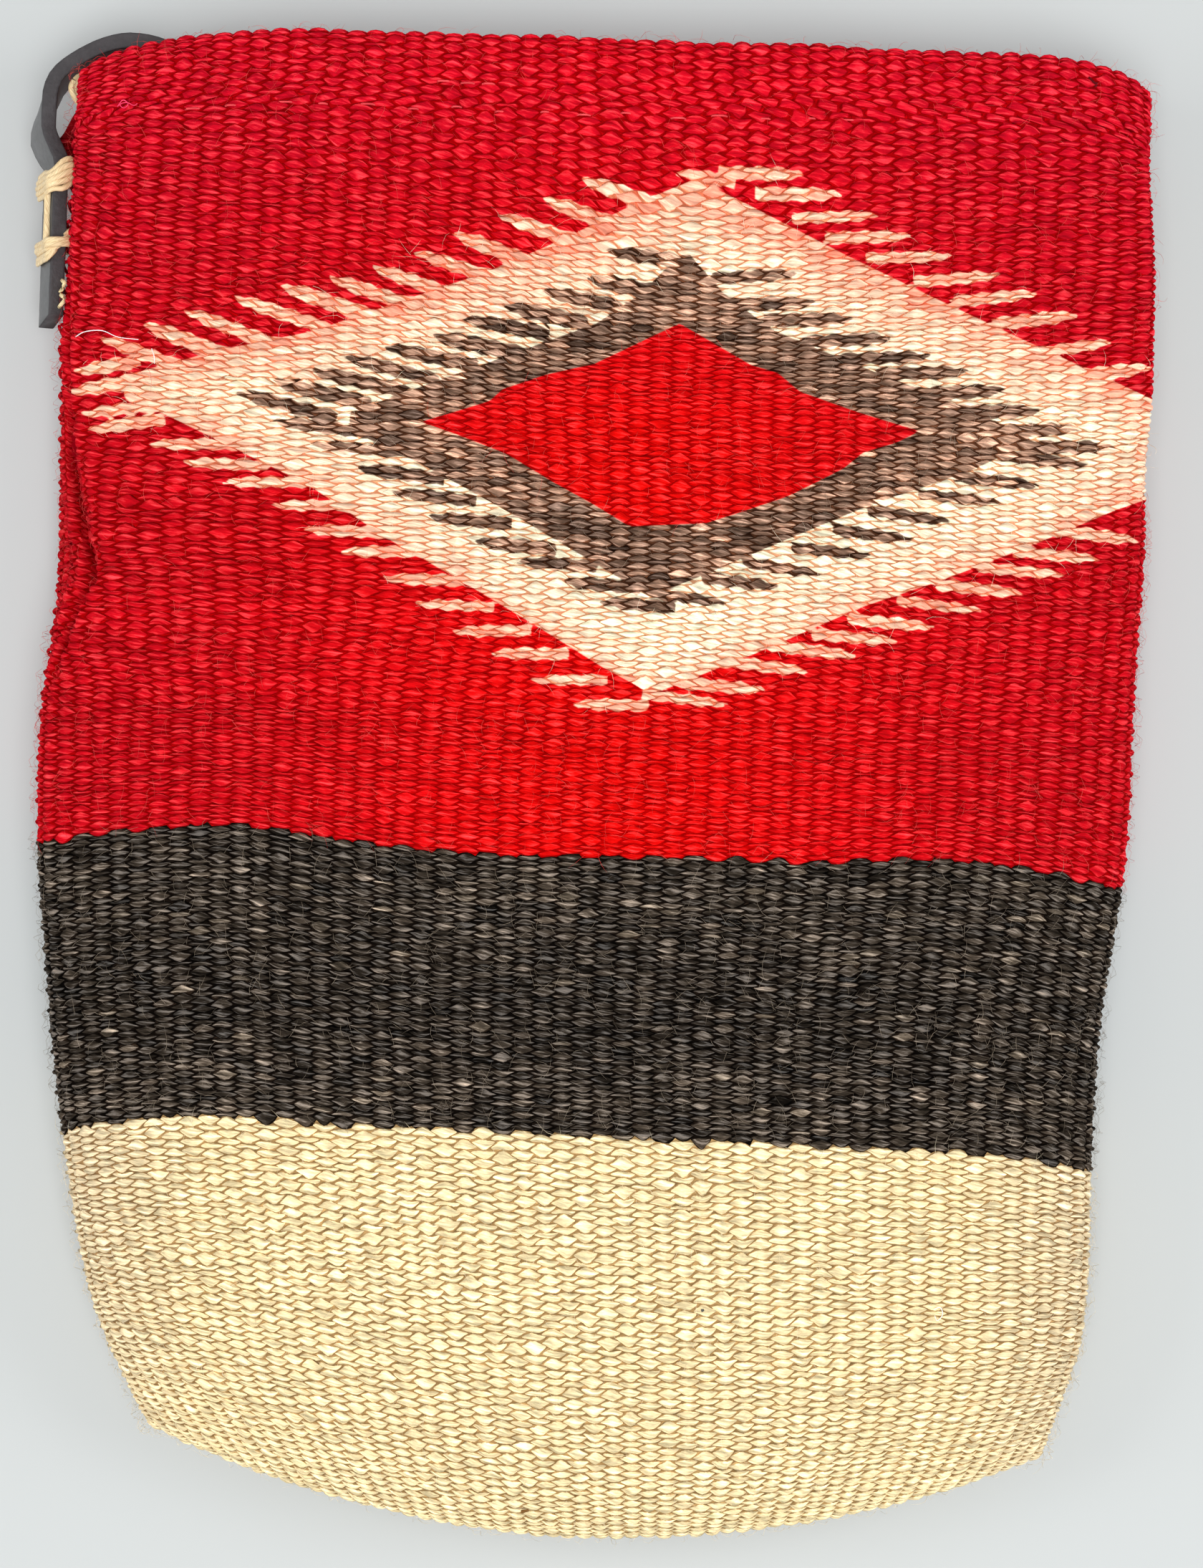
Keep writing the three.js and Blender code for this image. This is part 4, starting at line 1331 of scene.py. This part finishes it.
def makeStitches(stitches):
    draw = np.random.default_rng(stitches["seed"])
    routes, tones, thick = [], [], []
    for side in (-1, 1):
        for down in np.arange(*stitches["seamEnds"], stitches["seamStep"]):
            line = foldSide(seamRoute(side, down))
            nearest = np.argmin(((floatPlace - line[2]) ** 2).sum(-1))
            routes.append(line)
            tones.append(floatColour.reshape(-1, 3)[nearest] * stitches["seamShade"])
            thick.append(stitches["thick"])
    zigzag = stitches["zigzag"]
    shares, angles = np.array(zigzag["downs"]) / bagForm["length"], math.pi - np.array(zigzag["angles"])
    routes.append(pressStrap(clothPoint(bagForm, shares, angles)) + zigzag["stand"])
    tones.append(dye["bottomCream"])
    thick.append(zigzag["thick"])
    (alongPlay, downPlay), count = stitches["hemPlay"], stitches["hemPoints"]
    for run in stitches["hemRuns"]:
        for at in np.arange(*run["ribs"], run["step"]):
            at = at + draw.uniform(-alongPlay, alongPlay)
            span = at + np.linspace(0, 1, count) * draw.uniform(*stitches["hemLength"])
            down = run["down"] + draw.uniform(-downPlay, downPlay)
            place, normal = stripPlace(bagForm, np.full(count, down), span / weave["columns"])
            routes.append(place + normal * dive(count, *stitches["hemStand"]))
            tones.append(stitches["hemTone"])
            thick.append(stitches["hemThick"])
    lines = np.array([smoothRoute(route, stitches["steps"]) for route in routes])
    thick = np.repeat(np.array(thick)[:, None], lines.shape[1], 1)
    return makeYarnPiece("wool_stitches", lines, thick, np.array(tones), stitches["sides"])


def makeYarnPiece(name, lines, thick, tones, sides):
    outline = roundOutline(sides, 1, 1)[None, None] * thick[..., None, None]
    points, faces = sweep(lines, *framesAlong(lines, (0, 0, 1.0)), outline)
    piece = newMesh(name, points, faces)
    each = np.arange(len(lines))
    owner = np.concatenate([np.repeat(each, (lines.shape[1] - 1) * sides), each, each])
    habit = np.tile((0, stitches["streak"], 0), (len(owner), 1))
    paintYarn(piece, tones[owner], np.ones((len(owner), 3)), habit)
    corners = cornerPoints(piece)
    x, y, z = points.T
    layUv(piece, "yarn", np.stack([x + 0.3 * z, y + z], -1)[corners])
    layUv(piece, "bead", np.zeros((len(corners), 2)))
    return piece


finishPiece(makeStitches(stitches), woolMaterial, "wool")

fuzz = {
    "hairs": 8600,
    "edgeHairs": 700,
    "thick": 0.036,
    "length": (1.2, 4.2),
    "lift": (0.15, 0.9),
    "points": 4,
    "seed": 31,
    "sides": 3,
    "alongWeft": 1.6,       # more lays the hairs along the yarn
    "bend": 0.45,
    "root": 0.3,            # a hair starts this deep in the cloth, mm
    "lowest": 0.08,         # and stays this far above the table
    "pastFold": 6,          # rows of the back that have hairs too
    "lights": {"red": linear(240, 96, 88), "cream": linear(252, 240, 214),
               "charcoal": linear(176, 160, 140)},
}


def makeFuzz(fuzz):
    draw = np.random.default_rng(fuzz["seed"])
    count = fuzz["hairs"] + fuzz["edgeHairs"]
    u = draw.uniform(0.3, weave["columns"] - 0.3, count)
    v = draw.uniform(start["frontRim"], start["backCream"] + fuzz["pastFold"], count)
    edge = np.arange(count) >= fuzz["hairs"]
    ends = np.where(draw.uniform(0, 1, edge.sum()) < 0.5, 0.2, weave["columns"] - 0.2)
    u[edge] = ends + draw.uniform(-0.15, 0.15, edge.sum())
    place, normal, _, _ = weavePlace(v, u)
    tangent = unit(np.cross(normal, draw.standard_normal((count, 3))))
    along = unit(np.cross(normal, [0, 1.0, 0]))
    along = along * draw.choice([-1, 1], count)[:, None]
    tangent = unit(tangent + along * draw.uniform(0, fuzz["alongWeft"], count)[:, None])
    bend = np.cross(normal, tangent) * draw.normal(0, fuzz["bend"], count)[:, None]
    length = draw.uniform(*fuzz["length"], count)[:, None]
    lift = draw.uniform(*fuzz["lift"], count)[:, None]
    lift = np.where(edge[:, None], lift * 2, lift)
    part = np.linspace(0, 1, fuzz["points"])
    lines = np.stack([place + tangent * length * p + bend * length * p * p
                      + normal * (lift * (1 - (1.6 * p - 0.6) ** 2) * 1.2 - fuzz["root"] * (p == 0))
                      for p in part], 1)
    lines[..., 2] = np.maximum(lines[..., 2], fuzz["lowest"])
    thick = fuzz["thick"] * (1 - 0.7 * part)[None] * draw.uniform(0.7, 1.2, count)[:, None]
    column = np.clip(u.astype(int), 0, weave["columns"] - 1)
    k = np.floor(v - 0.5 * (column % 2)).astype(int) + 1
    light = np.array([fuzz["lights"][name] for name in wool])[floatKind[column, k]]
    part = draw.uniform(0.25, 0.9, count)[:, None]
    tones = floatColour[column, k] * (1 - part) + light * part
    return makeYarnPiece("loose_fibres", lines, thick, tones, fuzz["sides"])


finishPiece(makeFuzz(fuzz), woolMaterial, "wool")

# Stray hairs and flecks that lie on the cloth, in the figure's mm
strays = (
    {"line": ((-105.1, 83.8), (-103.4, 84.8), (-99.9, 85.2), (-96.9, 84.1), (-92.8, 83.7)), "thick": 0.1,
     "tone": linear(255, 250, 252)},
    {"line": ((-90.1, 82.0), (-89.6, 80.6), (-89.5, 79.1)), "thick": 0.1, "tone": linear(250, 244, 240)},
    {"line": ((-98.4, 129.0), (-97.4, 130.4), (-96.4, 129.6), (-97.2, 128.8), (-98.0, 129.4), (-96.6, 129.9),
              (-95.2, 129.4), (-94.6, 129.8)), "thick": 0.11, "tone": linear(255, 70, 112)},
    {"line": ((69.2, -100.2), (70.4, -99.8), (70.9, -101.2), (69.9, -102.4), (69.4, -101.4)), "thick": 0.1,
     "tone": linear(255, 255, 250)},
    {"line": ((91.0, 141.4), (92.2, 140.4), (93.4, 140.9), (92.4, 139.6)), "thick": 0.2,
     "tone": linear(92, 14, 20)},
    {"line": ((-10.0, -142.5), (-8.6, -142.2)), "thick": 0.35, "tone": linear(120, 84, 44)},
    {"line": ((23.8, -102.1), (24.3, -101.9)), "thick": 0.3, "tone": linear(84, 84, 80)},
)


strayHair = {"steps": 24, "sides": 5, "tip": 0.7, "above": (0.25, 0.55)}  # mm over the cloth


def makeStrays(strays):
    draw = np.random.default_rng(fuzz["seed"] + 1)
    near = np.stack([floatX, floatY], -1)[onFront]
    routes = []
    for stray in strays:
        points = []
        for x, y in stray["line"]:
            nearest = floatPlace[onFront][np.argmin(((near - (x, y)) ** 2).sum(-1))]
            shift = np.array(seenFromAbove(nearest))
            points.append(nearest + (x - shift[0], y - shift[1], draw.uniform(*strayHair["above"])))
        routes.append(smoothRoute(np.array(points), strayHair["steps"]))
    taper = np.linspace(1, strayHair["tip"], strayHair["steps"] + 1)
    thick = np.array([stray["thick"] for stray in strays])[:, None] * taper[None]
    tones = np.array([stray["tone"] for stray in strays])
    return makeYarnPiece("stray_hairs", np.array(routes), thick, tones, strayHair["sides"])


finishPiece(makeStrays(strays), woolMaterial, "wool")

studio = {
    "floorTone": linear(190, 194, 194),
    "floorRoughness": 0.6,
    "floorSize": 3.0,
    "floorDrop": 0.0002,    # just under the bag
    "worldLight": 0.42,
    "lamps": (
        {"name": "overhead_softbox", "place": (0.05, -0.28, 1.25), "size": 0.7, "watts": 11.3},
        {"name": "right_softbox", "place": (0.8, 0.1, 0.55), "size": 0.5, "watts": 3.4},
        {"name": "left_softbox", "place": (-0.8, 0.05, 0.55), "size": 0.5, "watts": 3.0},
    ),
}


def makeStudio(studio):
    mesh = bpy.data.meshes.new("table")
    h = studio["floorSize"] / 2
    mesh.from_pydata([(-h, -h, 0), (h, -h, 0), (h, h, 0), (-h, h, 0)], [], [(0, 1, 2, 3)])
    table = bpy.data.objects.new("table", mesh)
    table.location = (0, 0, -studio["floorDrop"])
    bpy.context.scene.collection.objects.link(table)
    material, _, shader = startMaterial("pale_table")
    plug(shader.inputs["Base Color"], (*studio["floorTone"], 1))
    plug(shader.inputs["Roughness"], studio["floorRoughness"])
    table.data.materials.append(material)
    world = bpy.data.worlds.new("studio")
    bpy.context.scene.world = world
    world.use_nodes = True
    sky = world.node_tree.nodes["Background"]
    plug(sky.inputs["Color"], (1, 1, 1, 1))
    plug(sky.inputs["Strength"], studio["worldLight"])
    for lamp in studio["lamps"]:
        data = bpy.data.lights.new(lamp["name"], "AREA")
        data.energy, data.size = lamp["watts"], lamp["size"]
        light = bpy.data.objects.new(lamp["name"], data)
        light.location = lamp["place"]
        toBag = -np.array(lamp["place"])
        tilt = math.acos(-toBag[2] / np.linalg.norm(toBag))
        light.rotation_euler = (tilt, 0, math.atan2(-toBag[0], toBag[1]))
        bpy.context.scene.collection.objects.link(light)
    bpy.context.scene.view_settings.view_transform = "Standard"


makeStudio(studio)
